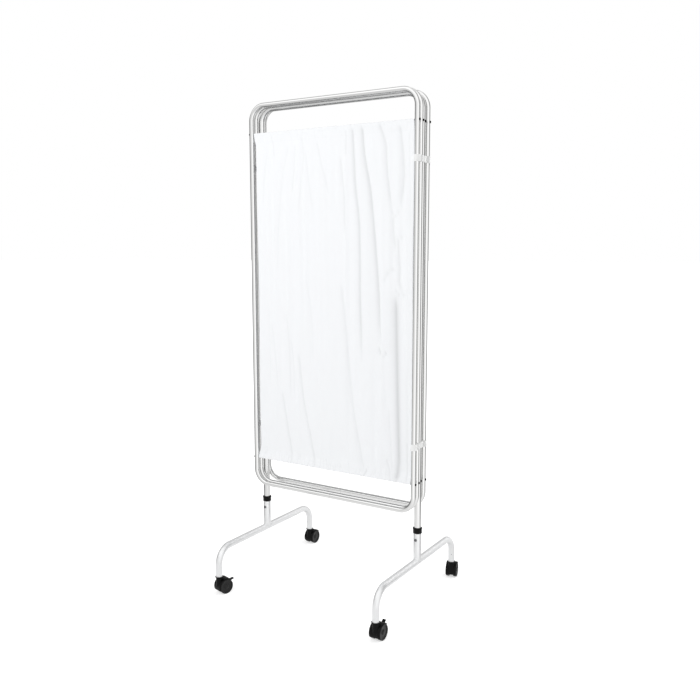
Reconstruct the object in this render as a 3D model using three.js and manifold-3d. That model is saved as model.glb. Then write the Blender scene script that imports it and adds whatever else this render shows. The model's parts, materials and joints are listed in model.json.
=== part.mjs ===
// A ward privacy screen on wheels: four curtained tube frames folded into a stack, the third on castored legs.
// Millimetres, +Z up. X runs along the frames, Y through the stack, and the floor is z = 0.
import * as THREE from "three";
import { mergeVertices } from "three/addons/utils/BufferGeometryUtils.js";
import Module from "manifold-3d";

const wasm = await Module();
wasm.setup();

// Clearances shared by the whole screen
const SEAT_GAP = 0.3;
const CUT_OVERRUN = 4;

// Frames: three wings and the base frame, which is a little narrower and stouter
const WING_HEIGHT = 1320;
const WING_WIDTH = 644;
const WING_TUBE = 16;
const BASE_WIDTH_LESS = 8;
const BASE_TUBE = 22;
const TUBE_WALL = 1.2;
const CORNER_RADIUS = 50;
const FRAME_GAP = 4;
const FRAME_PITCH = (WING_TUBE + BASE_TUBE) / 2 + FRAME_GAP;

// Curtain wires, which run through both stiles and end in a low cap outside
const WIRE_DIAMETER = 3.2;
const WIRE_INSET = 100;
const WIRE_CAP = 8;
const WIRE_CAP_HEIGHT = 2;

// Curtains, gathered on the wires by a pocket at the head and one at the hem
const CLOTH = 1.6;
const POCKET_WALL = 2;
const POCKET_HALF_HEIGHT = 4.5;
const POCKET_EDGE = 2.4;
const CURTAIN_SIDE_GAP = 3;
const EDGE_DRAW = 9;
const FOLD_DEPTH = 6;
const FOLD_FADE = 60;

// Hinge clips, two on each pair of neighbouring stiles
const CLIP_HEIGHT = 20;
const CLIP_WALL = 2;
const CLIP_WEB = 10;
const CLIP_TOP_INSET = 212;
const CLIP_BOTTOM_INSET = 220;

// Legs
const FOOT_TUBE = 22;
const FOOT_WALL = 1.5;
const FOOT_SPREAD = 536;
const FOOT_BEND = 55;
const FOOT_RISE = 95;
const SLEEVE_TUBE = 25;
const SLEEVE_LENGTH = 101;
const WING_CLEARANCE = 70;
const POST_FLOAT = 18;
const COLLAR_WALL = 1.4;
const COLLAR_HEIGHT = 18.5;
const COLLAR_LAP = 4.5;
const SCREW_DIAMETER = 6;
const SCREW_LENGTH = 12;
const SCREW_HEAD = 9.5;
const SCREW_HEAD_HEIGHT = 3;
const SCREW_DROP = 26;

// Castors
const WHEEL_DIAMETER = 50;
const WHEEL_WIDTH = 12;
const WHEEL_ROUND = 1.2;
const WHEEL_RIM = 5;
const WHEEL_DISH = 2.2;
const HUB_DIAMETER = 14;
const CASTOR_TRAIL = 18;
const AXLE_DIAMETER = 6;
const WEB_WIDTH = 13.4;
const WEB_DIAMETER = 34;
const TREAD_GAP = 1;
const FENDER_WALL = 2;
const BOSS_DIAMETER = 22;
const BOSS_RISE = 4.4;
const STEM_DIAMETER = 8;
const STEM_SEAT = 10;
const SOCKET_FLANGE = 24;
const SOCKET_FLANGE_HEIGHT = 3;
const SOCKET_DEPTH = 25;
const FENDER_START = THREE.MathUtils.degToRad(40);
const FENDER_END = THREE.MathUtils.degToRad(205);
const WEB_START = THREE.MathUtils.degToRad(44.5);

// The two castors that stand turned, from trailing straight back
const FRONT_LEFT_SWIVEL = THREE.MathUtils.degToRad(-15);
const REAR_RIGHT_SWIVEL = THREE.MathUtils.degToRad(15);

// Brake pedals between the wheels of the two front castors, one up and one pressed
const PEDAL_WIDTH = 11;
const PEDAL_LENGTH = 16.5;
const PEDAL_THICKNESS = 2.6;
const PEDAL_KNUCKLE = 5.6;
const PEDAL_RADIUS = 25.8;
const PEDAL_PLACE = THREE.MathUtils.degToRad(30.7);
const PEDAL_PRESSED = THREE.MathUtils.degToRad(5);
const PEDAL_TRAVEL = THREE.MathUtils.degToRad(25);

// Facets
const TUBE_SIDES = 12;
const BORE_SIDES = 8;
const BEND_STEPS = 4;
const TURNED_SIDES = 16;
const PIN_SIDES = 8;
const ROOM_SIDES = 24;
const FENDER_STEPS = 9;
const CLIP_STEPS = 9;
const CURTAIN_COLUMNS = 24;
const CURTAIN_ROWS = 6;

// Heights, from the floor up
const axleHeight = WHEEL_DIAMETER / 2;
const fenderRadius = axleHeight + TREAD_GAP + FENDER_WALL;
const bossTop = axleHeight + fenderRadius + BOSS_RISE;
const stemLow = bossTop - BOSS_RISE - STEM_SEAT;
const footEnd = bossTop + SEAT_GAP + SOCKET_FLANGE_HEIGHT + SEAT_GAP;
const footHeight = footEnd + FOOT_RISE;
const sleeveTop = footHeight + SLEEVE_LENGTH;
const wingBottom = sleeveTop + WING_CLEARANCE;
const frameTop = wingBottom + WING_HEIGHT;
const postEnd = footHeight + FOOT_TUBE / 2 + POST_FLOAT;
const wireHeights = { lower: wingBottom + WIRE_INSET, upper: frameTop - WIRE_INSET };
const clipHeights = { lower: wingBottom + CLIP_BOTTOM_INSET, upper: frameTop - CLIP_TOP_INSET };

// Places across the screen
const baseWidth = WING_WIDTH - BASE_WIDTH_LESS;
const wingStile = (WING_WIDTH - WING_TUBE) / 2;
const baseStile = (baseWidth - BASE_TUBE) / 2;
const hoodWidth = WEB_WIDTH + 2 * (SEAT_GAP + WHEEL_WIDTH);

// How the folds hang, as shares of the curtain: across at the head, the middle and the hem, the stretch from
// hem to head that they run over, and their depth and spread.
const FOLD_SHARES = [
  { across: [0.05, 0.08, 0.1], stretch: [0, 1], depth: -0.4, spread: 0.045 },
  { across: [0.25, 0.14, 0.17], stretch: [0, 1], depth: 0.5, spread: 0.05 },
  { across: [0.33, 0.22, 0.27], stretch: [0, 1], depth: -0.45, spread: 0.045 },
  { across: [0.43, 0.36, 0.39], stretch: [0, 1], depth: 0.5, spread: 0.05 },
  { across: [0.54, 0.58, 0.69], stretch: [0, 0.92], depth: 0.7, spread: 0.05 },
  { across: [0.65, 0.69, 0.76], stretch: [0.1, 1], depth: -0.55, spread: 0.04 },
  { across: [0.7, 0.8, 0.88], stretch: [0, 1], depth: 1, spread: 0.042 },
  { across: [0.8, 0.9, 0.92], stretch: [0, 1], depth: -0.8, spread: 0.038 },
  { across: [0.93, 0.97, 0.98], stretch: [0, 1], depth: 0.5, spread: 0.035 },
];

const finishes = {
  anodised: { color: 0xc9ccd0, roughness: 0.28, metalness: 1 },
  satinSilver: { color: 0xd3d5d7, roughness: 0.4, metalness: 0.9 },
  steel: { color: 0x9a9c9f, roughness: 0.35, metalness: 1 },
  blackPlastic: { color: 0x18181a, roughness: 0.5, metalness: 0 },
  blackTread: { color: 0x101011, roughness: 0.65, metalness: 0 },
  clipNylon: { color: 0xf1f2f0, roughness: 0.45, metalness: 0 },
  cloth: { color: 0xf3f4f5, roughness: 0.9, metalness: 0 },
};

// A centre line of straight runs joined by round bends, with stations only where it turns.
class BentPath extends THREE.Curve {
  constructor(corners, bendRadius, bendSteps) {
    super();
    this.stations = BentPath.stationsOf(corners, bendRadius, bendSteps);
  }

  static stationsOf(corners, bendRadius, bendSteps) {
    const directions = corners.slice(1).map((corner, i) => corner.clone().sub(corners[i]).normalize());
    const stations = [{ point: corners[0].clone(), tangent: directions[0].clone() }];
    for (let i = 1; i < corners.length - 1; i++) {
      const [before, after] = [directions[i - 1], directions[i]];
      const turn = before.angleTo(after);
      const axis = before.clone().cross(after).normalize();
      const start = corners[i].clone().addScaledVector(before, -bendRadius * Math.tan(turn / 2));
      const centre = start.clone().addScaledVector(axis.clone().cross(before), bendRadius);
      for (let step = 0; step <= bendSteps; step++) {
        const angle = (turn * step) / bendSteps;
        const arm = start.clone().sub(centre).applyAxisAngle(axis, angle);
        const tangent = before.clone().applyAxisAngle(axis, angle);
        stations.push({ point: centre.clone().add(arm), tangent });
      }
    }
    stations.push({ point: corners.at(-1).clone(), tangent: directions.at(-1).clone() });
    return stations;
  }

  get steps() {
    return this.stations.length - 1;
  }

  stationAt(u) {
    return this.stations[Math.round(u * this.steps)];
  }

  getPoint(u) {
    return this.stationAt(u).point.clone();
  }

  getPointAt(u) {
    return this.getPoint(u);
  }

  getTangentAt(u) {
    return this.stationAt(u).tangent.clone();
  }

  getSpacedPoints() {
    return this.stations.map((station) => station.point.clone());
  }
}

// Solids and meshes

function solidOf(geometry) {
  const bare = new THREE.BufferGeometry();
  bare.setAttribute("position", geometry.getAttribute("position"));
  bare.setIndex(geometry.index);
  const merged = mergeVertices(bare, 1e-4);
  return new wasm.Manifold(
    new wasm.Mesh({
      numProp: 3,
      vertProperties: new Float32Array(merged.attributes.position.array),
      triVerts: new Uint32Array(merged.index.array),
    }),
  );
}

function geometryOf(solid) {
  const mesh = solid.getMesh();
  const geometry = new THREE.BufferGeometry();
  geometry.setAttribute("position", new THREE.BufferAttribute(mesh.vertProperties, 3));
  geometry.setIndex(new THREE.BufferAttribute(mesh.triVerts, 1));
  geometry.computeVertexNormals();
  return geometry;
}

function cut(geometry, ...tools) {
  return geometryOf(tools.reduce((solid, tool) => solid.subtract(solidOf(tool)), solidOf(geometry)));
}

function join(...geometries) {
  return geometryOf(geometries.map(solidOf).reduce((whole, solid) => whole.add(solid)));
}

// The corner radius of a faceted bore whose flats clear a pin of this diameter by the seat gap.
function boreRadius(diameter, sides) {
  return (diameter / 2 + SEAT_GAP) / Math.cos(Math.PI / sides);
}

function circleHole(x, y, radius, sides) {
  const corners = Array.from({ length: sides }, (_, i) => {
    const angle = (-2 * Math.PI * i) / sides;
    return new THREE.Vector2(x + radius * Math.cos(angle), y + radius * Math.sin(angle));
  });
  return new THREE.Path(corners);
}

function circleShape(radius, sides) {
  const corners = Array.from({ length: sides }, (_, i) => {
    const angle = (2 * Math.PI * i) / sides;
    return new THREE.Vector2(radius * Math.cos(angle), radius * Math.sin(angle));
  });
  return new THREE.Shape(corners);
}

function tube(corners, bendRadius, diameter, wall) {
  const path = new BentPath(corners, bendRadius, BEND_STEPS);
  const section = circleShape(diameter / 2, TUBE_SIDES);
  section.holes.push(circleHole(0, 0, diameter / 2 - wall, BORE_SIDES));
  return new THREE.ExtrudeGeometry(section, { steps: path.steps, extrudePath: path });
}

// A solid of revolution about Z: the profile holds [radius, height] pairs.
function turned(profile, sides = TURNED_SIDES) {
  const points = profile.map(([radius, height]) => new THREE.Vector2(radius, height));
  return new THREE.LatheGeometry(points, sides).rotateX(Math.PI / 2);
}

// A rod along Z between two heights.
function rod(diameter, low, high, sides = PIN_SIDES) {
  return new THREE.CylinderGeometry(diameter / 2, diameter / 2, high - low, sides)
    .rotateX(Math.PI / 2)
    .translate(0, 0, (low + high) / 2);
}

// The cutter for a bore that a pin of this diameter runs in.
function bore(diameter, low, high, sides = PIN_SIDES) {
  return rod(2 * boreRadius(diameter, sides), low, high, sides);
}

// An outline in the Y-Z plane made a slab of the given width, centred across X.
function slabAcross(shape, width) {
  return new THREE.ExtrudeGeometry(shape, { depth: width, bevelEnabled: false, curveSegments: FENDER_STEPS })
    .translate(0, 0, -width / 2)
    .rotateY(Math.PI / 2)
    .rotateX(Math.PI / 2);
}

function piece(name, geometry, finish) {
  const mesh = new THREE.Mesh(geometry, new THREE.MeshStandardMaterial(finishes[finish]));
  mesh.name = name;
  return mesh;
}

function placed(x, y, z, ...children) {
  const group = new THREE.Group();
  group.position.set(x, y, z);
  group.add(...children);
  return group;
}

// Frames

function wireBores(frameWidth) {
  const reach = frameWidth / 2 + CUT_OVERRUN;
  return Object.values(wireHeights).map((height) =>
    bore(WIRE_DIAMETER, -reach, reach)
      .rotateY(Math.PI / 2)
      .translate(0, 0, height),
  );
}

// One tube bent round four corners, whose ends meet in the middle of the lower rail.
function wingFrame(name) {
  const low = wingBottom + WING_TUBE / 2;
  const high = frameTop - WING_TUBE / 2;
  const corners = [
    new THREE.Vector3(SEAT_GAP / 2, 0, low),
    new THREE.Vector3(wingStile, 0, low),
    new THREE.Vector3(wingStile, 0, high),
    new THREE.Vector3(-wingStile, 0, high),
    new THREE.Vector3(-wingStile, 0, low),
    new THREE.Vector3(-SEAT_GAP / 2, 0, low),
  ];
  return piece(name, cut(tube(corners, CORNER_RADIUS, WING_TUBE, TUBE_WALL), ...wireBores(WING_WIDTH)), "anodised");
}

function screwBore(side) {
  return bore(SCREW_DIAMETER, 0, SLEEVE_TUBE / 2 + CUT_OVERRUN)
    .rotateX(Math.PI / 2)
    .translate(side * baseStile, 0, sleeveTop - SCREW_DROP);
}

// The base frame has no lower rail: its stiles run down as posts into the legs.
function baseFrame() {
  const high = frameTop - BASE_TUBE / 2;
  const corners = [
    new THREE.Vector3(-baseStile, 0, postEnd),
    new THREE.Vector3(-baseStile, 0, high),
    new THREE.Vector3(baseStile, 0, high),
    new THREE.Vector3(baseStile, 0, postEnd),
  ];
  const bent = tube(corners, CORNER_RADIUS, BASE_TUBE, TUBE_WALL);
  return piece("base_frame", cut(bent, ...wireBores(baseWidth), screwBore(-1), screwBore(1)), "anodised");
}

// Curtains and their wires

function wire(name, height, frameWidth) {
  const seat = frameWidth / 2 + SEAT_GAP;
  const end = seat + WIRE_CAP_HEIGHT;
  const profile = [
    [0, -end],
    [WIRE_CAP / 3, -end],
    [WIRE_CAP / 2, -seat],
    [WIRE_DIAMETER / 2, -seat],
    [WIRE_DIAMETER / 2, seat],
    [WIRE_CAP / 2, seat],
    [WIRE_CAP / 3, end],
    [0, end],
  ];
  const geometry = turned(profile, PIN_SIDES).rotateY(Math.PI / 2).translate(0, 0, height);
  return piece(name, geometry, "blackPlastic");
}

// Where a fold lies across the curtain at a share of its height, on a curve through its three places.
function foldAcross([head, middle, hem], up) {
  const bow = 4 * middle - 2 * (head + hem);
  return hem + (head - hem) * up + bow * up * (1 - up);
}

function foldDepth(across, up) {
  return FOLD_SHARES.reduce((sum, fold) => {
    const [from, to] = fold.stretch;
    const strength = THREE.MathUtils.smoothstep(up, from - fold.spread, from + fold.spread)
      * (1 - THREE.MathUtils.smoothstep(up, to - fold.spread, to + fold.spread));
    const offset = (across - foldAcross(fold.across, up)) / fold.spread;
    return sum + fold.depth * strength * Math.exp(-offset * offset);
  }, 0);
}

// The rows of the curtain from hem to head, each with its height and half its thickness.
function curtainRows() {
  const { lower, upper } = wireHeights;
  const pocket = WIRE_DIAMETER / 2 + SEAT_GAP + POCKET_WALL;
  const start = lower + FOLD_FADE;
  const end = upper - FOLD_FADE;
  const body = Array.from({ length: CURTAIN_ROWS + 1 }, (_, i) => ({
    height: start + ((end - start) * i) / CURTAIN_ROWS,
    half: CLOTH / 2,
  }));
  return [
    { height: lower - POCKET_HALF_HEIGHT, half: POCKET_EDGE / 2 },
    { height: lower, half: pocket },
    { height: lower + POCKET_HALF_HEIGHT, half: POCKET_EDGE / 2 },
    ...body,
    { height: upper - POCKET_HALF_HEIGHT, half: POCKET_EDGE / 2 },
    { height: upper, half: pocket },
    { height: upper + POCKET_HALF_HEIGHT, half: POCKET_EDGE / 2 },
  ];
}

// A gathered curtain as one closed sheet with a pocket round each wire. Side -1 or 1 mirrors its folds.
function curtain(name, frameWidth, frameTube, side) {
  const half = frameWidth / 2 - frameTube - CURTAIN_SIDE_GAP;
  const { lower, upper } = wireHeights;
  const front = [];
  const back = [];
  for (const row of curtainRows()) {
    const fromWire = Math.min(Math.abs(row.height - lower), Math.abs(upper - row.height));
    const fade = THREE.MathUtils.smoothstep(fromWire, POCKET_HALF_HEIGHT, FOLD_FADE);
    const left = -half + EDGE_DRAW * fade;
    for (let column = 0; column <= CURTAIN_COLUMNS; column++) {
      const across = column / CURTAIN_COLUMNS;
      const x = side * (left + (half - left) * across);
      const depth = -FOLD_DEPTH * fade * foldDepth(across, (row.height - lower) / (upper - lower));
      front.push(x, depth - row.half, row.height);
      back.push(x, depth + row.half, row.height);
    }
  }
  const sheet = closedSheet(front, back, CURTAIN_COLUMNS + 1, curtainRows().length, side);
  return piece(name, cut(sheet, ...wireBores(frameWidth)), "cloth");
}

// Two grids of points, the front and the back of a sheet, closed round their edges into one solid.
function closedSheet(front, back, columns, rows, side) {
  const offset = columns * rows;
  const index = [];
  const quad = (a, b, c, d) => index.push(...(side > 0 ? [a, b, c, a, c, d] : [a, c, b, a, d, c]));
  for (let row = 0; row < rows - 1; row++) {
    const here = row * columns;
    const above = here + columns;
    for (let i = 0; i < columns - 1; i++) {
      quad(here + i, here + i + 1, above + i + 1, above + i);
      quad(offset + here + i, offset + above + i, offset + above + i + 1, offset + here + i + 1);
    }
    const [end, endAbove] = [here + columns - 1, above + columns - 1];
    quad(here, above, offset + above, offset + here);
    quad(end, offset + end, offset + endAbove, endAbove);
  }
  const top = columns * (rows - 1);
  for (let i = 0; i < columns - 1; i++) {
    quad(i, offset + i, offset + i + 1, i + 1);
    quad(top + i, top + i + 1, offset + top + i + 1, offset + top + i);
  }
  const geometry = new THREE.BufferGeometry();
  geometry.setAttribute("position", new THREE.Float32BufferAttribute([...front, ...back], 3));
  geometry.setIndex(index);
  return geometry;
}

function dressedFrame(place, frame, width, diameter, side) {
  return [
    frame,
    curtain(place + "_curtain", width, diameter, side),
    wire(place + "_upper_wire", wireHeights.upper, width),
    wire(place + "_lower_wire", wireHeights.lower, width),
  ];
}

// Hinge clips

// Two rings side by side on a short web: the first round the origin, the second at (0, -spacing).
function clipGeometry(firstTube, secondTube, spacing) {
  const radii = [firstTube, secondTube].map((diameter) => diameter / 2 + SEAT_GAP + CLIP_WALL);
  const [first, second] = radii.map((radius) => Math.asin(CLIP_WEB / 2 / radius));
  const outline = new THREE.Shape();
  outline.absarc(0, 0, radii[0], -Math.PI / 2 + first, 1.5 * Math.PI - first, false);
  outline.absarc(0, -spacing, radii[1], Math.PI / 2 + second, 2.5 * Math.PI - second, false);
  outline.holes.push(circleHole(0, 0, boreRadius(firstTube, TUBE_SIDES), TUBE_SIDES));
  outline.holes.push(circleHole(0, -spacing, boreRadius(secondTube, TUBE_SIDES), TUBE_SIDES));
  const options = { depth: CLIP_HEIGHT, bevelEnabled: false, curveSegments: CLIP_STEPS };
  return new THREE.ExtrudeGeometry(outline, options).translate(0, 0, -CLIP_HEIGHT / 2);
}

// A pair of clips that joins a stile at (x, y) to its neighbour at (x2, y2).
function clipPair(place, [x, y, firstTube], [x2, y2, secondTube]) {
  const spacing = Math.hypot(x2 - x, y2 - y);
  const turn = Math.atan2(x2 - x, -(y2 - y));
  return Object.entries(clipHeights).map(([level, height]) => {
    const clip = piece(place + "_" + level + "_clip", clipGeometry(firstTube, secondTube, spacing), "clipNylon");
    clip.position.set(x, y, height);
    clip.rotation.z = turn;
    return clip;
  });
}

// Legs

function footTube(name) {
  const reach = FOOT_SPREAD / 2;
  const corners = [
    new THREE.Vector3(0, -reach, footEnd),
    new THREE.Vector3(0, -reach, footHeight),
    new THREE.Vector3(0, reach, footHeight),
    new THREE.Vector3(0, reach, footEnd),
  ];
  return piece(name, tube(corners, FOOT_BEND, FOOT_TUBE, FOOT_WALL), "satinSilver");
}

// The sleeve stands saddled on the foot tube and holds the post.
function sleeve(name, side) {
  const outer = SLEEVE_TUBE / 2;
  const inner = boreRadius(BASE_TUBE, TURNED_SIDES);
  const profile = [
    [inner, footHeight],
    [outer, footHeight],
    [outer, sleeveTop],
    [inner, sleeveTop],
    [inner, footHeight],
  ];
  const saddle = bore(FOOT_TUBE, -SLEEVE_TUBE, SLEEVE_TUBE, TURNED_SIDES)
    .rotateX(Math.PI / 2)
    .translate(0, 0, footHeight);
  const screwHole = screwBore(side).translate(-side * baseStile, 0, 0);
  return piece(name, cut(turned(profile), saddle, screwHole), "satinSilver");
}

// A collar that caps the sleeve and closes on the post.
function collar(name) {
  const inner = boreRadius(BASE_TUBE, TURNED_SIDES);
  const seat = boreRadius(SLEEVE_TUBE, TURNED_SIDES);
  const outer = seat + COLLAR_WALL;
  const low = sleeveTop - COLLAR_LAP;
  const high = low + COLLAR_HEIGHT;
  const profile = [
    [seat, low],
    [outer, low],
    [outer, high - COLLAR_WALL],
    [outer - COLLAR_WALL, high],
    [inner, high],
    [inner, sleeveTop + SEAT_GAP],
    [seat, sleeveTop + SEAT_GAP],
    [seat, low],
  ];
  return piece(name, turned(profile), "blackPlastic");
}

function sleeveScrew(name) {
  const profile = [
    [0, -SCREW_LENGTH],
    [SCREW_DIAMETER / 2, -SCREW_LENGTH],
    [SCREW_DIAMETER / 2, 0],
    [SCREW_HEAD / 2, 0],
    [SCREW_HEAD / 2, SCREW_HEAD_HEIGHT / 2],
    [SCREW_HEAD / 4, SCREW_HEAD_HEIGHT],
    [0, SCREW_HEAD_HEIGHT],
  ];
  const screw = piece(name, turned(profile, PIN_SIDES).rotateX(Math.PI / 2), "steel");
  screw.position.set(0, -SLEEVE_TUBE / 2 - SEAT_GAP, sleeveTop - SCREW_DROP);
  return screw;
}

// Castors: the stem stands on (0, 0) and the axle trails it along +Y

// The hood is a fender over both wheels with a web between them and a boss for the stem.
function hood(name) {
  const inner = fenderRadius - FENDER_WALL;
  const fender = new THREE.Shape();
  fender.absarc(0, 0, fenderRadius, FENDER_START, FENDER_END, false);
  fender.lineTo(0, 0);
  const web = new THREE.Shape();
  web.absarc(0, 0, fenderRadius, WEB_START, FENDER_END, false);
  web.absarc(0, 0, WEB_DIAMETER / 2, FENDER_END, 2 * Math.PI, false);
  const atAxle = (geometry) => geometry.translate(0, CASTOR_TRAIL, axleHeight);
  const wheelRoom = (side) =>
    atAxle(rod(2 * inner, WEB_WIDTH / 2, hoodWidth, ROOM_SIDES).rotateY((side * Math.PI) / 2));
  const solid = join(
    cut(
      join(
        atAxle(slabAcross(fender, hoodWidth)),
        rod(BOSS_DIAMETER, axleHeight, bossTop, TURNED_SIDES),
      ),
      wheelRoom(-1),
      wheelRoom(1),
    ),
    atAxle(slabAcross(web, WEB_WIDTH)),
  );
  const stemBore = bore(STEM_DIAMETER, stemLow - SEAT_GAP, bossTop + CUT_OVERRUN);
  const axleBore = atAxle(bore(AXLE_DIAMETER, -hoodWidth, hoodWidth).rotateY(Math.PI / 2));
  return piece(name, cut(solid, stemBore, axleBore), "blackPlastic");
}

function stem(name) {
  return piece(name, rod(STEM_DIAMETER, stemLow, footEnd + SOCKET_DEPTH), "steel");
}

function axle(name) {
  const geometry = rod(AXLE_DIAMETER, -hoodWidth / 2, hoodWidth / 2).rotateY(Math.PI / 2);
  return piece(name, geometry.translate(0, CASTOR_TRAIL, axleHeight), "steel");
}

// Side -1 or 1: the wheel left or right of the web, with its dished face outwards. It stands on a flat.
function wheel(name, side) {
  const inner = boreRadius(AXLE_DIAMETER, TURNED_SIDES);
  const radius = WHEEL_DIAMETER / 2 / Math.cos(Math.PI / TURNED_SIDES);
  const rim = radius - WHEEL_RIM;
  const hub = HUB_DIAMETER / 2;
  const profile = [
    [inner, 0],
    [radius, 0],
    [radius, WHEEL_WIDTH - WHEEL_ROUND],
    [radius - WHEEL_ROUND, WHEEL_WIDTH],
    [rim, WHEEL_WIDTH],
    [rim - WHEEL_DISH, WHEEL_WIDTH - WHEEL_DISH],
    [hub, WHEEL_WIDTH - WHEEL_DISH],
    [hub, WHEEL_WIDTH],
    [inner, WHEEL_WIDTH],
    [inner, 0],
  ];
  const disc = turned(profile).rotateZ(Math.PI / TURNED_SIDES).rotateY((side * Math.PI) / 2);
  const geometry = disc.translate(side * (WEB_WIDTH / 2 + SEAT_GAP), CASTOR_TRAIL, axleHeight);
  return piece(name, geometry, "blackTread");
}

// The pedal turns about a knuckle between the wheels: lift is its angle above pressed.
function brakePedal(name, lift) {
  const plate = new THREE.BoxGeometry(PEDAL_WIDTH, PEDAL_LENGTH, PEDAL_THICKNESS)
    .translate(0, PEDAL_LENGTH / 2, 0)
    .rotateX(PEDAL_PRESSED + lift);
  const knuckle = rod(PEDAL_KNUCKLE, -PEDAL_WIDTH / 2, PEDAL_WIDTH / 2).rotateY(Math.PI / 2);
  const pedal = piece(name, join(knuckle, plate), "blackPlastic");
  pedal.position.set(
    0,
    CASTOR_TRAIL + PEDAL_RADIUS * Math.cos(PEDAL_PLACE),
    axleHeight + PEDAL_RADIUS * Math.sin(PEDAL_PLACE),
  );
  return pedal;
}

function socket(name) {
  const inner = boreRadius(STEM_DIAMETER, TUBE_SIDES);
  const plug = (FOOT_TUBE / 2 - FOOT_WALL) * Math.cos(Math.PI / BORE_SIDES) - SEAT_GAP;
  const low = bossTop + SEAT_GAP;
  const flangeTop = low + SOCKET_FLANGE_HEIGHT;
  const profile = [
    [inner, low],
    [SOCKET_FLANGE / 2, low],
    [SOCKET_FLANGE / 2, flangeTop],
    [plug, flangeTop],
    [plug, footEnd + SOCKET_DEPTH],
    [inner, footEnd + SOCKET_DEPTH],
    [inner, low],
  ];
  return piece(name, turned(profile, TUBE_SIDES), "blackPlastic");
}

// The socket stays in the foot, and the rest turns about the stem by the swivel angle.
function castor(place, swivel, ...pedals) {
  const turning = placed(
    0, 0, 0,
    stem(place + "_stem"),
    hood(place + "_hood"),
    axle(place + "_axle"),
    wheel(place + "_left_wheel", -1),
    wheel(place + "_right_wheel", 1),
    ...pedals,
  );
  turning.rotation.z = swivel;
  return [socket(place + "_socket"), turning];
}

function leg(place, side, lift, frontSwivel, rearSwivel) {
  const pedal = brakePedal("front_" + place + "_brake_pedal", lift);
  const front = placed(0, -FOOT_SPREAD / 2, 0, ...castor("front_" + place, frontSwivel, pedal));
  const rear = placed(0, FOOT_SPREAD / 2, 0, ...castor("rear_" + place, rearSwivel));
  return placed(
    side * baseStile, 0, 0,
    footTube(place + "_foot_tube"),
    sleeve(place + "_sleeve", side),
    collar(place + "_collar"),
    sleeveScrew(place + "_sleeve_screw"),
    front,
    rear,
  );
}

// The stack, front to back: front wing, middle wing, base frame, rear wing

const screen = placed(
  0, 0, 0,
  placed(0, -2 * FRAME_PITCH, 0,
    ...dressedFrame("front", wingFrame("front_wing_frame"), WING_WIDTH, WING_TUBE, 1)),
  placed(0, -FRAME_PITCH, 0,
    ...dressedFrame("middle", wingFrame("middle_wing_frame"), WING_WIDTH, WING_TUBE, -1)),
  ...dressedFrame("base", baseFrame(), baseWidth, BASE_TUBE, 1),
  placed(0, FRAME_PITCH, 0,
    ...dressedFrame("rear", wingFrame("rear_wing_frame"), WING_WIDTH, WING_TUBE, -1)),
  ...clipPair("front", [wingStile, -FRAME_PITCH, WING_TUBE], [wingStile, -2 * FRAME_PITCH, WING_TUBE]),
  ...clipPair("middle", [-baseStile, 0, BASE_TUBE], [-wingStile, -FRAME_PITCH, WING_TUBE]),
  ...clipPair("rear", [baseStile, 0, BASE_TUBE], [wingStile, FRAME_PITCH, WING_TUBE]),
  leg("left", -1, 0, FRONT_LEFT_SWIVEL, 0),
  leg("right", 1, PEDAL_TRAVEL, 0, REAR_RIGHT_SWIVEL),
);

// The middle of the footprint goes to the origin, because the castors reach further back than forward.
const footprint = new THREE.Box3().setFromObject(screen, true);
screen.position.y = -(footprint.min.y + footprint.max.y) / 2;

const part = new THREE.Group();
part.add(screen);

export default part;
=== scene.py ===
"""The looks of a ward screen: four curtained tube frames folded on each other, the third on castored legs.

Metres, +Z up. X runs along the frames, Y from the front wing to the rear wing, and the floor is z = 0.
"""

import json
import logging
import math
from dataclasses import dataclass
from enum import Enum
from typing import Callable, Iterable

import bmesh
import bpy
import numpy as np
from mathutils import Matrix, Vector

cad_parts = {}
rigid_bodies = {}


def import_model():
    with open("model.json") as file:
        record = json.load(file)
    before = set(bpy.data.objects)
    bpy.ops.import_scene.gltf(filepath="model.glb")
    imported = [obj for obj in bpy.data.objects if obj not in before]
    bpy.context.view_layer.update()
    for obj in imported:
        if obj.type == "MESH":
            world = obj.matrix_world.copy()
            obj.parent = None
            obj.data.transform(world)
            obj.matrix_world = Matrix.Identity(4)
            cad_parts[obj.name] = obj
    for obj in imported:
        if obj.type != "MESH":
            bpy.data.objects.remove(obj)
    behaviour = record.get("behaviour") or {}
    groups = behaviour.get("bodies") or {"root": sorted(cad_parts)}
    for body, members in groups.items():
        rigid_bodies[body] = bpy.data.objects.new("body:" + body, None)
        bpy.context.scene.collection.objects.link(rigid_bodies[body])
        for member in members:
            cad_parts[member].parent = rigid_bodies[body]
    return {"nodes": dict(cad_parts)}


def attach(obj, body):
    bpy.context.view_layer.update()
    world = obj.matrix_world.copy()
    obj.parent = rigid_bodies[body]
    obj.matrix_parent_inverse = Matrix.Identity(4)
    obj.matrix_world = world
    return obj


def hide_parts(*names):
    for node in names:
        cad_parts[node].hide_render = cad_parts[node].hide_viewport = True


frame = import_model()

log = logging.getLogger("ward_screen")
Grid = np.ndarray
Mesh = bpy.types.Mesh
Node = bpy.types.Node
Socket = bpy.types.NodeSocket
Thing = bpy.types.Object
Tree = bpy.types.NodeTree
Point = tuple[float, float, float]
Profile = list[tuple[float, float]]
Stops = tuple[tuple[float, float], ...]

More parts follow.
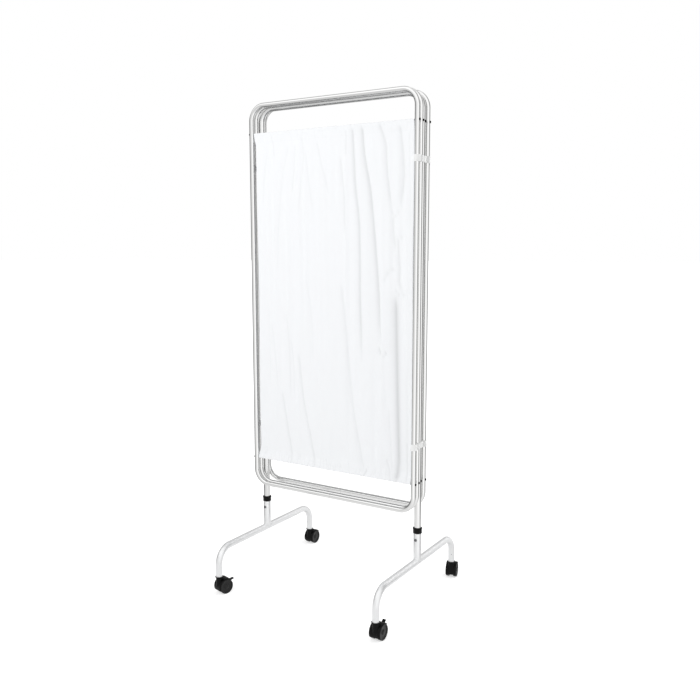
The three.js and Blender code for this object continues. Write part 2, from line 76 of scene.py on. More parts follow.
STACK_Y = -0.015795
PITCH = 0.023
AXLE_HEIGHT = 0.025
CASTOR_TRAIL = 0.018
FOOT_HEIGHT = 0.156
FOOT_SPREAD = 0.536
SLEEVE_TOP = 0.257
POST_BOTTOM = 0.185
WING_BOTTOM = 0.327
FRAME_TOP = 1.647
WIRE_LOW = 0.427
WIRE_HIGH = 1.547
WIRE_SPAN = WIRE_HIGH - WIRE_LOW
CLIP_LEVELS = {"lower": 0.547, "upper": 1.435}
BASE_STILE = 0.307
WING_STILE = 0.314
BASE_TUBE = 0.022
WING_TUBE = 0.016
EDGE_GAP = 0.003
IN_METRE = 1000
CAMERA_PLACE = (1.4150, -2.2038, 1.178)
CAMERA_TURN = 31.97
CAMERA_DOWN = 7.65


class Slot(Enum):
    """The record's material slots."""

    TUBE = "anodised_tube"
    LEG = "silver_paint"
    STEEL = "steel"
    BLACK = "black_plastic"
    WHEEL = "wheel_plastic"
    CLIP = "clip_nylon"
    CLOTH = "curtain_cloth"


class Side(Enum):
    """Left or right of the screen, seen from the front."""

    LEFT = -1
    RIGHT = 1


class Hand(Enum):
    """Whether the folds hang as in the front curtain or mirrored."""

    PLAIN = 1
    MIRRORED = -1


class Lay(Enum):
    """How a repeated bar lies to the line that it repeats along."""

    ALONG = "along"
    ACROSS = "across"


# Node trees

def feed(tree: Tree, node: Node, inputs: dict) -> None:
    """Set a node's inputs, or link them to their sources.

    Args:
        tree: the tree that the node is in.
        node: the node.
        inputs: a value or a source socket for each input, by name or place.
    """
    for key, value in inputs.items():
        if isinstance(value, Socket):
            tree.links.new(value, node.inputs[key])
        else:
            node.inputs[key].default_value = value


def put(tree: Tree, kind: str, inputs: dict | None = None, **settings: object) -> Node:
    """Add a node to a tree.

    Args:
        tree: the tree that it joins.
        kind: the node's type name.
        inputs: a value or a source socket for each input, by name or place.
        settings: the node's own properties.

    Returns:
        The new node.
    """
    node = tree.nodes.new(kind)
    for key, value in settings.items():
        setattr(node, key, value)
    feed(tree, node, inputs or {})
    return node


def maths(tree: Tree, operation: str, *values: Socket | float) -> Socket:
    """Work out one operation on values or sockets."""
    return put(tree, "ShaderNodeMath", dict(enumerate(values)), operation=operation).outputs[0]


def ramp(tree: Tree, source: Socket, low: float, high: float, start: float = 0.0, end: float = 1.0) -> Socket:
    """Map a source that runs from start to end to low and high."""
    return put(tree, "ShaderNodeMapRange", {"Value": source, "From Min": start, "From Max": end,
                                            "To Min": low, "To Max": high}).outputs["Result"]


def mapped(tree: Tree, source: Socket, scale: Point) -> Socket:
    """Stretch coordinates by a scale."""
    return put(tree, "ShaderNodeMapping", {"Vector": source, "Scale": scale}).outputs["Vector"]


def noise(tree: Tree, place: Socket, scale: float, detail: float) -> Socket:
    """Look up a noise of some scale and detail at a place."""
    return put(tree, "ShaderNodeTexNoise", {"Vector": place, "Scale": scale, "Detail": detail}).outputs["Fac"]


def bump(tree: Tree, height: Socket, strength: float, distance: float) -> Socket:
    """Tilt the surface by a height, with a strength and a distance in metres."""
    return put(tree, "ShaderNodeBump", {"Height": height, "Strength": strength,
                                        "Distance": distance}).outputs["Normal"]


# Finishes

@dataclass(frozen=True)
class Finish:
    """A surface finish, made once as a material and then shared."""

    name: str
    colour: tuple[float, float, float]
    roughness: float

    def material(self) -> bpy.types.Material:
        """Give back this finish's material, made on its first use."""
        return bpy.data.materials.get(self.name) or self.make()

    def make(self) -> bpy.types.Material:
        """Make the material.

        Returns:
            A material whose shader holds the finish's own nodes.
        """
        material = bpy.data.materials.new(self.name)
        material.use_nodes = True
        material.diffuse_color = (*self.colour, 1)
        tree = material.node_tree
        plain = {"Base Color": (*self.colour, 1), "Roughness": self.roughness}
        feed(tree, tree.nodes["Principled BSDF"], {**plain, **self.dress(tree)})
        return material

    def dress(self, tree: Tree) -> dict[str, object]:
        """Add this finish's nodes, and give back what the shader's inputs take."""
        return {}

    def rough(self, tree: Tree, share: Socket, swing: float, start: float = 0.3, end: float = 0.7) -> Socket:
        """Swing the roughness about its mean while a share runs from start to end."""
        return ramp(tree, share, self.roughness - swing, self.roughness + swing, start, end)

    def tint(self, tree: Tree, share: Socket, low: float, high: float) -> Socket:
        """Vary the colour's brightness.

        Args:
            tree: the material's tree.
            share: how far the colour is from its low to its high shade.
            low: the brightness at share 0.
            high: the brightness at share 1.

        Returns:
            The varied colour.
        """
        low_shade, high_shade = [(*(min(c * level, 1) for c in self.colour), 1) for level in (low, high)]
        return put(tree, "ShaderNodeMix", {"Factor": share, "A": low_shade, "B": high_shade},
                   data_type="RGBA").outputs["Result"]


@dataclass(frozen=True)
class DrawnAluminium(Finish):
    """Bright anodised tube, with the fine streaks that drawing leaves along it."""

    streak: float = 0.02

    def dress(self, tree: Tree) -> dict[str, object]:
        """Streak the gloss and the surface along the tube's own run.

        Args:
            tree: the material's tree.

        Returns:
            What the shader's inputs take.
        """
        run = put(tree, "ShaderNodeAttribute", attribute_name="draw").outputs["Vector"]
        streaks = noise(tree, mapped(tree, run, (1500, 1500, 9)), 1, 3)
        cloud = noise(tree, mapped(tree, run, (30, 30, 4)), 1, 2)
        return {"Metallic": 1, "Base Color": self.tint(tree, streaks, 0.985, 1.005),
                "Roughness": self.rough(tree, maths(tree, "ADD", streaks, cloud), self.streak, 0.6, 1.4),
                "Normal": bump(tree, streaks, 0.005, 0.0001)}


@dataclass(frozen=True)
class SilverPaint(Finish):
    """Silver leg paint with a slight orange peel."""

    def dress(self, tree: Tree) -> dict[str, object]:
        """Add flake, orange peel and a thin clear coat.

        Args:
            tree: the material's tree.

        Returns:
            What the shader's inputs take.
        """
        place = put(tree, "ShaderNodeTexCoord").outputs["Object"]
        peel, flake = noise(tree, place, 420, 2), noise(tree, place, 5200, 1)
        return {"Metallic": 0.65, "Coat Weight": 0.25, "Coat Roughness": 0.12,
                "Base Color": self.tint(tree, flake, 0.96, 1.03),
                "Roughness": self.rough(tree, peel, 0.045),
                "Normal": bump(tree, peel, 0.03, 0.0003)}


@dataclass(frozen=True)
class ZincSteel(Finish):
    """Zinc plating with a faint mottle."""

    def dress(self, tree: Tree) -> dict[str, object]:
        """Mottle the colour and the gloss.

        Args:
            tree: the material's tree.

        Returns:
            What the shader's inputs take.
        """
        mottle = noise(tree, put(tree, "ShaderNodeTexCoord").outputs["Object"], 260, 4)
        return {"Metallic": 1, "Base Color": self.tint(tree, mottle, 0.85, 1.1),
                "Roughness": self.rough(tree, mottle, 0.125),
                "Normal": bump(tree, mottle, 0.08, 0.0002)}


@dataclass(frozen=True)
class MouldedPlastic(Finish):
    """Moulded plastic with a fine spark grain and rubbed high spots."""

    grain: float = 2600
    glow: float = 0.0
    gloss: float = 0.5

    def dress(self, tree: Tree) -> dict[str, object]:
        """Grain the surface, and let a pale plastic carry light inside.

        Args:
            tree: the material's tree.

        Returns:
            What the shader's inputs take.
        """
        place = put(tree, "ShaderNodeTexCoord").outputs["Object"]
        wear = noise(tree, place, 90, 3)
        inputs = {"Specular IOR Level": self.gloss,
                  "Base Color": self.tint(tree, wear, 0.85, 1.2 if max(self.colour) < 0.5 else 1.0),
                  "Roughness": self.rough(tree, wear, 0.07),
                  "Normal": bump(tree, noise(tree, place, self.grain, 2), 0.12, 0.0002)}
        if self.glow:
            inputs |= {"Subsurface Weight": self.glow, "Subsurface Radius": (0.005, 0.005, 0.005),
                       "Subsurface Scale": 1}
        return inputs


@dataclass(frozen=True)
class CurtainCloth(Finish):
    """Plain woven curtain cloth, whose threads follow the sheet's own lengths and whose nips have painted
    shade.
    """

    thread: float = 0.0006
    waves_in_thread: float = 0.3142

    def dress(self, tree: Tree) -> dict[str, object]:
        """Weave warp and weft over the cloth's own map, with slubs and a soft sheen.

        Args:
            tree: the material's tree.

        Returns:
            What the shader's inputs take.
        """
        cloth = put(tree, "ShaderNodeUVMap", uv_map="cloth").outputs["UV"]
        weave = {"Vector": cloth, "Scale": self.waves_in_thread / self.thread, "Distortion": 0.6, "Detail": 1}
        warp, weft = [put(tree, "ShaderNodeTexWave", weave, wave_type="BANDS",
                          bands_direction=way).outputs["Fac"] for way in ("X", "Y")]
        slub = noise(tree, mapped(tree, cloth, (60, 900, 1)), 1, 3)
        # Painted shade: the cloth's colour is darkened along its nips, where the shade of the creases falls.
        nip = put(tree, "ShaderNodeAttribute", attribute_name="nip").outputs["Fac"]
        shade = maths(tree, "MULTIPLY", ramp(tree, slub, 0.985, 1.01), ramp(tree, nip, 1, 0.72))
        height = maths(tree, "ADD", maths(tree, "MULTIPLY", warp, weft), slub)
        return {"Sheen Weight": 0.12, "Sheen Roughness": 0.5, "Specular IOR Level": 0.2,
                "Base Color": self.tint(tree, shade, 0, 1),
                "Normal": bump(tree, height, 0.18, self.thread / 4)}


ALUMINIUM = DrawnAluminium("bright_anodised_tube", (0.885, 0.885, 0.88), 0.075)
LEG_PAINT = SilverPaint("silver_leg_paint", (0.915, 0.92, 0.925), 0.335)
STEEL = ZincSteel("zinc_plated_steel", (0.62, 0.63, 0.65), 0.325)
DARK_STEEL = ZincSteel("blackened_steel", (0.2, 0.2, 0.205), 0.325)
BLACK = MouldedPlastic("black_moulding", (0.004, 0.004, 0.004), 0.38, gloss=0.12)
TREAD = MouldedPlastic("black_wheel", (0.005, 0.005, 0.005), 0.4, gloss=0.36)
NYLON = MouldedPlastic("white_nylon", (0.965, 0.97, 0.965), 0.35, glow=0.1)
CLOTH = CurtainCloth("white_curtain_cloth", (0.925, 0.938, 0.955), 0.9)
THREAD = MouldedPlastic("white_thread", (0.925, 0.938, 0.955), 0.8, grain=5000, gloss=0.2)


# Geometry Nodes

class GrowTree:
    """A Geometry Nodes tree with named inputs, which ends in Realize Instances and Set Material."""

    def __init__(self, name: str, **sizes: type) -> None:
        """Open the tree.

        Args:
            name: the tree's name.
            sizes: the type of each named input.
        """
        self.tree = bpy.data.node_groups.new(name, "GeometryNodeTree")
        kinds = {float: "Float", int: "Int", Vector: "Vector"}
        sockets = {"Geometry": "Geometry", **{size: kinds[kind] for size, kind in sizes.items()},
                   "Finish": "Material"}
        for socket, kind in sockets.items():
            self.tree.interface.new_socket(socket, in_out="INPUT", socket_type="NodeSocket" + kind)
        self.tree.interface.new_socket("Geometry", in_out="OUTPUT", socket_type="NodeSocketGeometry")
        self.inputs = put(self.tree, "NodeGroupInput").outputs

    def curve(self) -> Socket:
        """Give back the lines as curves."""
        return put(self.tree, "GeometryNodeMeshToCurve", {"Mesh": self.inputs["Geometry"]}).outputs["Curve"]

    def half(self, size: str) -> Socket:
        """Give back half of a named size."""
        return maths(self.tree, "MULTIPLY", self.inputs[size], 0.5)

    def scatter(self, spots: Socket, cuts: tuple[int, int], girth: Socket, length: Socket,
                way: Socket) -> None:
        """Set a stretched ball on each spot, and close the tree.

        Args:
            spots: what carries the balls.
            cuts: how many segments and rings a ball has.
            girth: half its width.
            length: half its length.
            way: where its length points.
        """
        tree = self.tree
        ball = put(tree, "GeometryNodeMeshUVSphere", {"Segments": cuts[0], "Rings": cuts[1], "Radius": 1.0})
        smooth = put(tree, "GeometryNodeSetShadeSmooth",
                     {"Geometry": ball.outputs["Mesh"]}).outputs["Geometry"]
        size = put(tree, "ShaderNodeCombineXYZ", {"X": girth, "Y": girth, "Z": length}).outputs["Vector"]
        turn = put(tree, "FunctionNodeAlignRotationToVector", {"Vector": way}, axis="Z").outputs["Rotation"]
        balls = put(tree, "GeometryNodeInstanceOnPoints", {"Points": spots, "Instance": smooth,
                                                           "Rotation": turn, "Scale": size})
        self.close(balls.outputs["Instances"])

    def close(self, geometry: Socket) -> None:
        """Realise what was made, and give it its finish.

        Args:
            geometry: what was made.
        """
        real = put(self.tree, "GeometryNodeRealizeInstances", {"Geometry": geometry}).outputs["Geometry"]
        done = put(self.tree, "GeometryNodeSetMaterial",
                   {"Geometry": real, "Material": self.inputs["Finish"]})
        put(self.tree, "NodeGroupOutput", {"Geometry": done.outputs["Geometry"]})

    def grow(self, name: str, lines: Iterable[Grid], finish: Finish, **sizes: object) -> Thing:
        """Run the tree on lines of points.

        Args:
            name: the new object's name.
            lines: the lines, each an array of points in metres.
            finish: what Set Material gives.
            sizes: the named inputs.

        Returns:
            An object with the tree's result as its plain mesh.
        """
        points, edges = [], []
        for line in lines:
            edges += [(len(points) + i, len(points) + i + 1) for i in range(len(line) - 1)]
            points += [tuple(p) for p in line]
        base = bpy.data.meshes.new(name + "_line")
        base.from_pydata(points, edges, [])
        carrier = bpy.data.objects.new(name + "_line", base)
        modifier = carrier.modifiers.new("grow", "NODES")
        modifier.node_group = self.tree
        values = {**sizes, "Finish": finish.material()}
        for item in self.tree.interface.items_tree:
            if item.in_out == "INPUT" and item.name in values:
                modifier[item.identifier] = values[item.name]
        return linked(name, baked(carrier, name))


class TubeTree(GrowTree):
    """Sweeps a round tube along each line and stores its run for the drawn streaks."""

    def __init__(self) -> None:
        """Build the tree."""
        super().__init__("round_tube", Radius=float, Sides=int)
        tree, sizes = self.tree, self.inputs
        run = put(tree, "GeometryNodeSplineParameter")
        path, length = self.caught(self.curve(), run.outputs["Length"])
        ring = put(tree, "GeometryNodeCurvePrimitiveCircle", {"Resolution": sizes["Sides"],
                                                              "Radius": sizes["Radius"]})
        section, turn = self.caught(ring.outputs["Curve"], run.outputs["Factor"])
        swept = put(tree, "GeometryNodeCurveToMesh",
                    {"Curve": path, "Profile Curve": section, "Fill Caps": True})
        angle = maths(tree, "MULTIPLY", turn, math.tau)
        x, y = [maths(tree, "MULTIPLY", maths(tree, way, angle), sizes["Radius"])
                for way in ("COSINE", "SINE")]
        place = put(tree, "ShaderNodeCombineXYZ", {"X": x, "Y": y, "Z": length}).outputs["Vector"]
        stored = put(tree, "GeometryNodeStoreNamedAttribute",
                     {"Geometry": swept.outputs["Mesh"], "Name": "draw", "Value": place},
                     data_type="FLOAT_VECTOR", domain="POINT")
        self.close(stored.outputs["Geometry"])

    def caught(self, geometry: Socket, value: Socket) -> tuple[Socket, Socket]:
        """Keep a value on the points of a geometry.

        Args:
            geometry: what has the points.
            value: what they keep.

        Returns:
            The geometry and the kept value.
        """
        node = put(self.tree, "GeometryNodeCaptureAttribute", domain="POINT")
        node.capture_items.new("FLOAT", "Kept")
        feed(self.tree, node, {"Geometry": geometry, 1: value})
        return node.outputs["Geometry"], node.outputs[1]


class BarTree(GrowTree):
    """Repeats a small rounded bar along each line, such as a stitch or a rib."""

    def __init__(self, lay: Lay) -> None:
        """Build the tree.

        Args:
            lay: whether a bar lies along the line, or across it in a given direction.
        """
        super().__init__("bars_" + lay.value, Pitch=float, Length=float, Thickness=float, Direction=Vector)
        even = put(self.tree, "GeometryNodeResampleCurve",
                   {"Curve": self.curve(), "Length": self.inputs["Pitch"]}, mode="LENGTH").outputs["Curve"]
        tangent = put(self.tree, "GeometryNodeInputTangent").outputs["Tangent"]
        way = tangent if lay is Lay.ALONG else self.inputs["Direction"]
        self.scatter(even, (6, 5), self.half("Thickness"), self.half("Length"), way)


class RivetTree(GrowTree):
    """Sets a low domed head on each point, facing one way."""

    def __init__(self) -> None:
        """Build the tree."""
        super().__init__("rivet_heads", Diameter=float, Height=float, Facing=Vector)
        sizes = self.inputs
        self.scatter(sizes["Geometry"], (20, 12), self.half("Diameter"), sizes["Height"], sizes["Facing"])


# Shapes and pieces

@dataclass
class Shape:
    """Points and faces on their way to a mesh."""

    points: Grid
    faces: list[tuple[int, ...]]

    def moved(self, matrix: Matrix) -> "Shape":
        """Give back this shape moved by a matrix."""
        flat = np.c_[self.points, np.ones(len(self.points))] @ np.array(matrix).T
        return Shape(flat[:, :3], self.faces)

    def at(self, x: float, y: float, z: float) -> "Shape":
        """Give back this shape shifted."""
        return Shape(self.points + np.array((x, y, z)), self.faces)

    def with_(self, *others: "Shape") -> "Shape":
        """Join this shape and others.

        Args:
            others: the other shapes.

        Returns:
            All of them as one shape.
        """
        points, faces = [self.points], list(self.faces)
        for other in others:
            offset = sum(len(p) for p in points)
            points.append(other.points)
            faces += [tuple(i + offset for i in face) for face in other.faces]
        return Shape(np.concatenate(points), faces)


def ring_faces(rings: int, steps: int, closed: bool) -> list[tuple[int, ...]]:
    """List the faces between rings of points.

    Args:
        rings: how many rings there are.
        steps: how many points a ring has.
        closed: whether the last ring joins the first.

    Returns:
        The faces between each ring and the next.
    """
    faces = []
    for i in range(rings if closed else rings - 1):
        j = (i + 1) % rings
        faces += [(i * steps + k, i * steps + (k + 1) % steps, j * steps + (k + 1) % steps, j * steps + k)
                  for k in range(steps)]
    return faces


def turned(profile: Profile, steps: int = 48) -> Shape:
    """Turn a profile about Z.

    Args:
        profile: (radius, height) pairs, a loop that is closed for me, or a line from axis to axis.
        steps: how many faces go round.

    Returns:
        The closed shape.
    """
    angles = np.arange(steps) * math.tau / steps
    points = [(r * math.cos(a), r * math.sin(a), h) for r, h in profile for a in angles]
    loop = profile[0][0] > 0 or profile[-1][0] > 0
    return Shape(np.array(points), ring_faces(len(profile), steps, loop))


def prism(outline: Profile, width: float) -> Shape:
    """Make an outline in the Y-Z plane a slab across X.

    Args:
        outline: the (y, z) points, in order.
        width: how wide the slab is, with X = 0 in its middle.

    Returns:
        The closed slab.
    """
    n = len(outline)
    points = [(x, y, z) for x in (-width / 2, width / 2) for y, z in outline]
    faces = [tuple(range(n)), tuple(range(2 * n - 1, n - 1, -1))]
    faces += [(i, i + n, (i + 1) % n + n, (i + 1) % n) for i in range(n)]
    return Shape(np.array(points), faces)


def saddled(outer: float, inner: float, top: float, bottom: Callable[[float, float], float],
            steps: int = 64) -> Shape:
    """Make an upright tube whose lower edge follows a curved seat.

    Args:
        outer: outer radius.
        inner: inner radius.
        top: height of the upper edge.
        bottom: gives the lower edge's height at a place (x, y) on the outer wall.
        steps: how many faces go round.

    Returns:
        The closed tube, about the Z axis.
    """
    lip = min(0.0006, (outer - inner) / 3)
    shape = turned([(outer, 0), (outer, top - lip), (outer - lip, top), (inner + lip, top),
                    (inner, top - lip), (inner, 0)], steps)
    low = [bottom(x, y) for x, y in shape.points[:steps, :2]]
    shape.points[:steps, 2] = shape.points[-steps:, 2] = low
    return shape


def arc(x: float, y: float, radius: float, start: float, end: float, steps: int) -> Profile:
    """Draw an arc round a centre, between two angles in radians."""
    return [(x + radius * math.cos(t), y + radius * math.sin(t)) for t in np.linspace(start, end, steps)]


def bent_line(corners: list[Point], radius: float, steps: int = 20) -> Grid:
    """Round the corners of a line.

    Args:
        corners: the line's corners and ends.
        radius: bend radius.
        steps: how many steps each bend takes.

    Returns:
        The points of the line with its bends.
    """
    spots = [Vector(c) for c in corners]
    ways = [(b - a).normalized() for a, b in zip(spots, spots[1:])]
    line = [spots[0]]
    for before, after, corner in zip(ways, ways[1:], spots[1:-1]):
        turn = before.angle(after)
        axis = before.cross(after).normalized()
        start = corner - before * (radius * math.tan(turn / 2))
        centre = start + axis.cross(before) * radius
        for step in range(steps + 1):
            line.append(centre + Matrix.Rotation(turn * step / steps, 3, axis) @ (start - centre))
    return np.array(line + [spots[-1]])


def baked(carrier: Thing, name: str) -> Mesh:
    """Take an object's finished mesh, and clear the object away.

    Args:
        carrier: an object that isn't linked yet.
        name: the mesh's name.

    Returns:
        The plain mesh.
    """
    bpy.context.scene.collection.objects.link(carrier)
    bpy.context.view_layer.update()
    mesh = bpy.data.meshes.new_from_object(carrier.evaluated_get(bpy.context.evaluated_depsgraph_get()))
    carrier.modifiers.clear()
    bpy.data.batch_remove((carrier, carrier.data))
    mesh.name = name
    return mesh


def welded(mesh: Mesh, finish: Finish, gap: float = 1e-6) -> Mesh:
    """Join a mesh's seams, turn its faces outward and give it a finish.

    Args:
        mesh: the mesh.
        finish: its only finish.
        gap: how close two points are that become one.

    Returns:
        The same mesh.
    """
    work = bmesh.new()
    work.from_mesh(mesh)
    bmesh.ops.remove_doubles(work, verts=work.verts, dist=gap)
    bmesh.ops.recalc_face_normals(work, faces=work.faces)
    work.to_mesh(mesh)
    work.free()
    mesh.materials.clear()
    mesh.materials.append(finish.material())
    return mesh


def linked(name: str, mesh: Mesh, sharp: float = 35) -> Thing:
    """Shade a mesh smooth between its sharp edges, and link an object of it.

    Args:
        name: the object's name.
        mesh: its mesh.
        sharp: the edge angle in degrees from which an edge stays sharp.

    Returns:
        The object.
    """
    mesh.shade_smooth()
    mesh.set_sharp_from_angle(angle=math.radians(sharp))
    made = bpy.data.objects.new(name, mesh)
    bpy.context.scene.collection.objects.link(made)
    return made


def piece(name: str, shape: Shape, finish: Finish, sharp: float = 35, soften: float = 0.0) -> Thing:
    """Make a closed shape an object.

    Args:
        name: the object's name.
        shape: what it is made of.
        finish: its finish.
        sharp: the edge angle in degrees from which an edge stays sharp.
        soften: the width of the rounding on sharp edges.

    Returns:
        The object, with its place in its mesh.
    """
    mesh = bpy.data.meshes.new(name)
    mesh.from_pydata([tuple(p) for p in shape.points], [], shape.faces)
    made = linked(name, welded(mesh, finish), sharp)
    if soften:
        bevel = made.modifiers.new("soft_edges", "BEVEL")
        bevel.width, bevel.segments, bevel.limit_method = soften, 2, "ANGLE"
        bevel.angle_limit = math.radians(40)
    return made


def settle(made: Thing, body: str, slot: Slot, *nodes: str) -> None:
    """Let a piece ride on a body, and let it stand for CAD nodes.

    Args:
        made: the piece.
        body: the body that it moves with.
        slot: its material slot, which is not used.
        nodes: the CAD nodes that it stands for.
    """
    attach(made, body)
    if nodes:
        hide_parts(*nodes)


def smoothstep(value: Grid, low: float, high: float) -> Grid:
    """Rise smoothly from 0 at low to 1 at high."""
    share = np.clip((value - low) / (high - low), 0, 1)
    return share * share * (3 - 2 * share)


# Frames and wires

@dataclass
class TubeFrame:
    """A frame bent from one tube, with its curtain wires."""

    place: str
    body: str
    y: float
    stile: float
    tube: float
    foot: float
    tubes: TubeTree
    corner: float = 0.05
    joint: float = 0.0003
    wire: float = 0.0032
    cap: float = 0.008
    cap_rise: float = 0.0022

    def line(self) -> Grid:
        """Draw the tube's centre line, a loop for a wing and an arch for the base frame.

        Returns:
            The points of the line.
        """
        y, x, high = self.y, self.stile, FRAME_TOP - self.tube / 2
        if self.place == "base":
            corners = [(-x, y, self.foot), (-x, y, high), (x, y, high), (x, y, self.foot)]
        else:
            low, gap = self.foot + self.tube / 2, self.joint / 2
            corners = [(gap, y, low), (x, y, low), (x, y, high), (-x, y, high), (-x, y, low), (-gap, y, low)]
        return bent_line(corners, self.corner)

    def build(self) -> list[Thing]:
        """Build the tube and the wires.

        Returns:
            The wire rods, upper first, which the curtain hangs on.
        """
        tube = self.tubes.grow(self.place + "_frame_tube", [self.line()], ALUMINIUM, Radius=self.tube / 2,
                               Sides=40)
        node = "base_frame" if self.place == "base" else self.place + "_wing_frame"
        settle(tube, self.body, Slot.TUBE, node)
        return [self.build_wire("upper", WIRE_HIGH), self.build_wire("lower", WIRE_LOW)]

    def build_wire(self, level: str, height: float) -> Thing:
        """Build one wire and its two caps.

        Args:
            level: the wire's name in the frame.
            height: its height.

        Returns:
            The wire.
        """
        name = f"{self.place}_{level}_wire"
        reach = self.stile + self.tube / 2
        ends = np.array([(-reach - 0.001, self.y, height), (reach + 0.001, self.y, height)])
        rod = self.tubes.grow(name + "_rod", [ends], STEEL, Radius=self.wire / 2, Sides=16)
        settle(rod, self.body, Slot.STEEL, name)
        r, h = self.cap / 2, self.cap_rise
        dome = turned([(0, -0.0004), (r * 0.9, -0.0004), (r, 0.0002), (r * 0.97, h * 0.45),
                       (r * 0.78, h * 0.8), (r * 0.4, h * 0.97), (0, h)], 28)
        left, right = [dome.moved(Matrix.Rotation(side.value * math.pi / 2, 4, "Y"))
                       .at(side.value * (reach + 0.0001), self.y, height) for side in Side]
        settle(piece(name + "_caps", left.with_(right), BLACK, 60), self.body, Slot.BLACK)
        return rod


# Curtains

@dataclass(frozen=True)
class Crease:
    """One tuck of a curtain, which sinks into a pinch on its left and comes back from it on its right.

    The line is in (across, up) shares of the curtain and runs downwards. The rest is in millimetres: how
    deep the tuck sinks, how far it eases off on the left and on the right, and how deep the pinch in its
    line is, which also sets how dark a shade is painted along the pinch.
    """

    line: Stops
    sink: float
    left: float
    right: float
    # The pinch's depth, which also scales the shade painted along it.
    nip: float = 0.0

    def path(self, wide: float, tall: float, count: int = 70, blur: int = 9) -> tuple[Grid, Grid]:
        """Round the line's corners.

        Args:
            wide: the curtain's width.
            tall: the height between its wires.
            count: how many points the path has.
            blur: how many points each point's place is the mean of.

        Returns:
            The places across and up, evenly spaced along the line.
        """
        corners = np.array(self.line) * (wide, tall)
        steps = np.r_[0, np.cumsum(np.hypot(*np.diff(corners, axis=0).T))]
        at = np.linspace(0, steps[-1], count)
        x, z = [np.convolve(np.pad(np.interp(at, steps, axis), blur // 2, mode="edge"), np.ones(blur) / blur,
                            "valid") for axis in corners.T]
        return x, z

    def dent(self, x: Grid, z: Grid, wide: float, tall: float) -> tuple[Grid, Grid]:
        """Work out how far this tuck sinks the cloth, and the shade painted along its pinch.

        Args:
            x: places across in millimetres, a grid.
            z: places up in millimetres, a grid.
            wide: the curtain's width in millimetres.
            tall: the height between its wires in millimetres.

        Returns:
            The depth in millimetres, and the painted shade along the pinch, from 0 to 1.
        """
        px, pz = self.path(wide, tall)
        last = len(px) - 1
        tx, tz = np.gradient(px), np.gradient(pz)
        size = np.hypot(tx, tz)
        sunk, shade = np.zeros_like(x), np.zeros_like(x)
        close = (x > px.min() - 90) & (x < px.max() + 90) & (z > pz.min() - 60) & (z < pz.max() + 60)
        x, z = x[close], z[close]
        gap = (x[:, None] - px) ** 2 + (z[:, None] - pz) ** 2
        near = gap.argmin(axis=1)
        dx, dz = x - px[near], z - pz[near]
        aside = (dx * tz[near] - dz * tx[near]) / size[near] * (1 if tz.mean() > 0 else -1)
        reach = np.where((near == 0) | (near == last), np.sqrt(gap.min(axis=1)), np.abs(aside))
        share = np.clip((near + (dx * tx[near] + dz * tz[near]) / size[near] ** 2) / last, 0, 1)
        held = [min(end[1], 1 - end[1]) < 0.025 for end in (self.line[0], self.line[-1])]
        fade = np.maximum(smoothstep(share, -0.06, 0.08), held[0])
        fade = fade * np.maximum(1 - smoothstep(share, 0.78, 1.04), held[1])
        ease = np.where(aside > 0, 2 * self.right, self.left)
        slope, groove = np.exp(-(reach / ease) ** 1.3), np.exp(-(reach / 3) ** 2)
        sunk[close] = fade * (self.sink * slope + 0.6 * self.nip * groove)
        # Painted shade: darkest on the pinch's line and fading off to the left and right.
        soft = np.where(aside > 0, self.right, self.left) * 0.38
        shade[close] = fade * self.nip / 5 * np.exp(-(reach / soft) ** 1.3)
        return sunk, shade


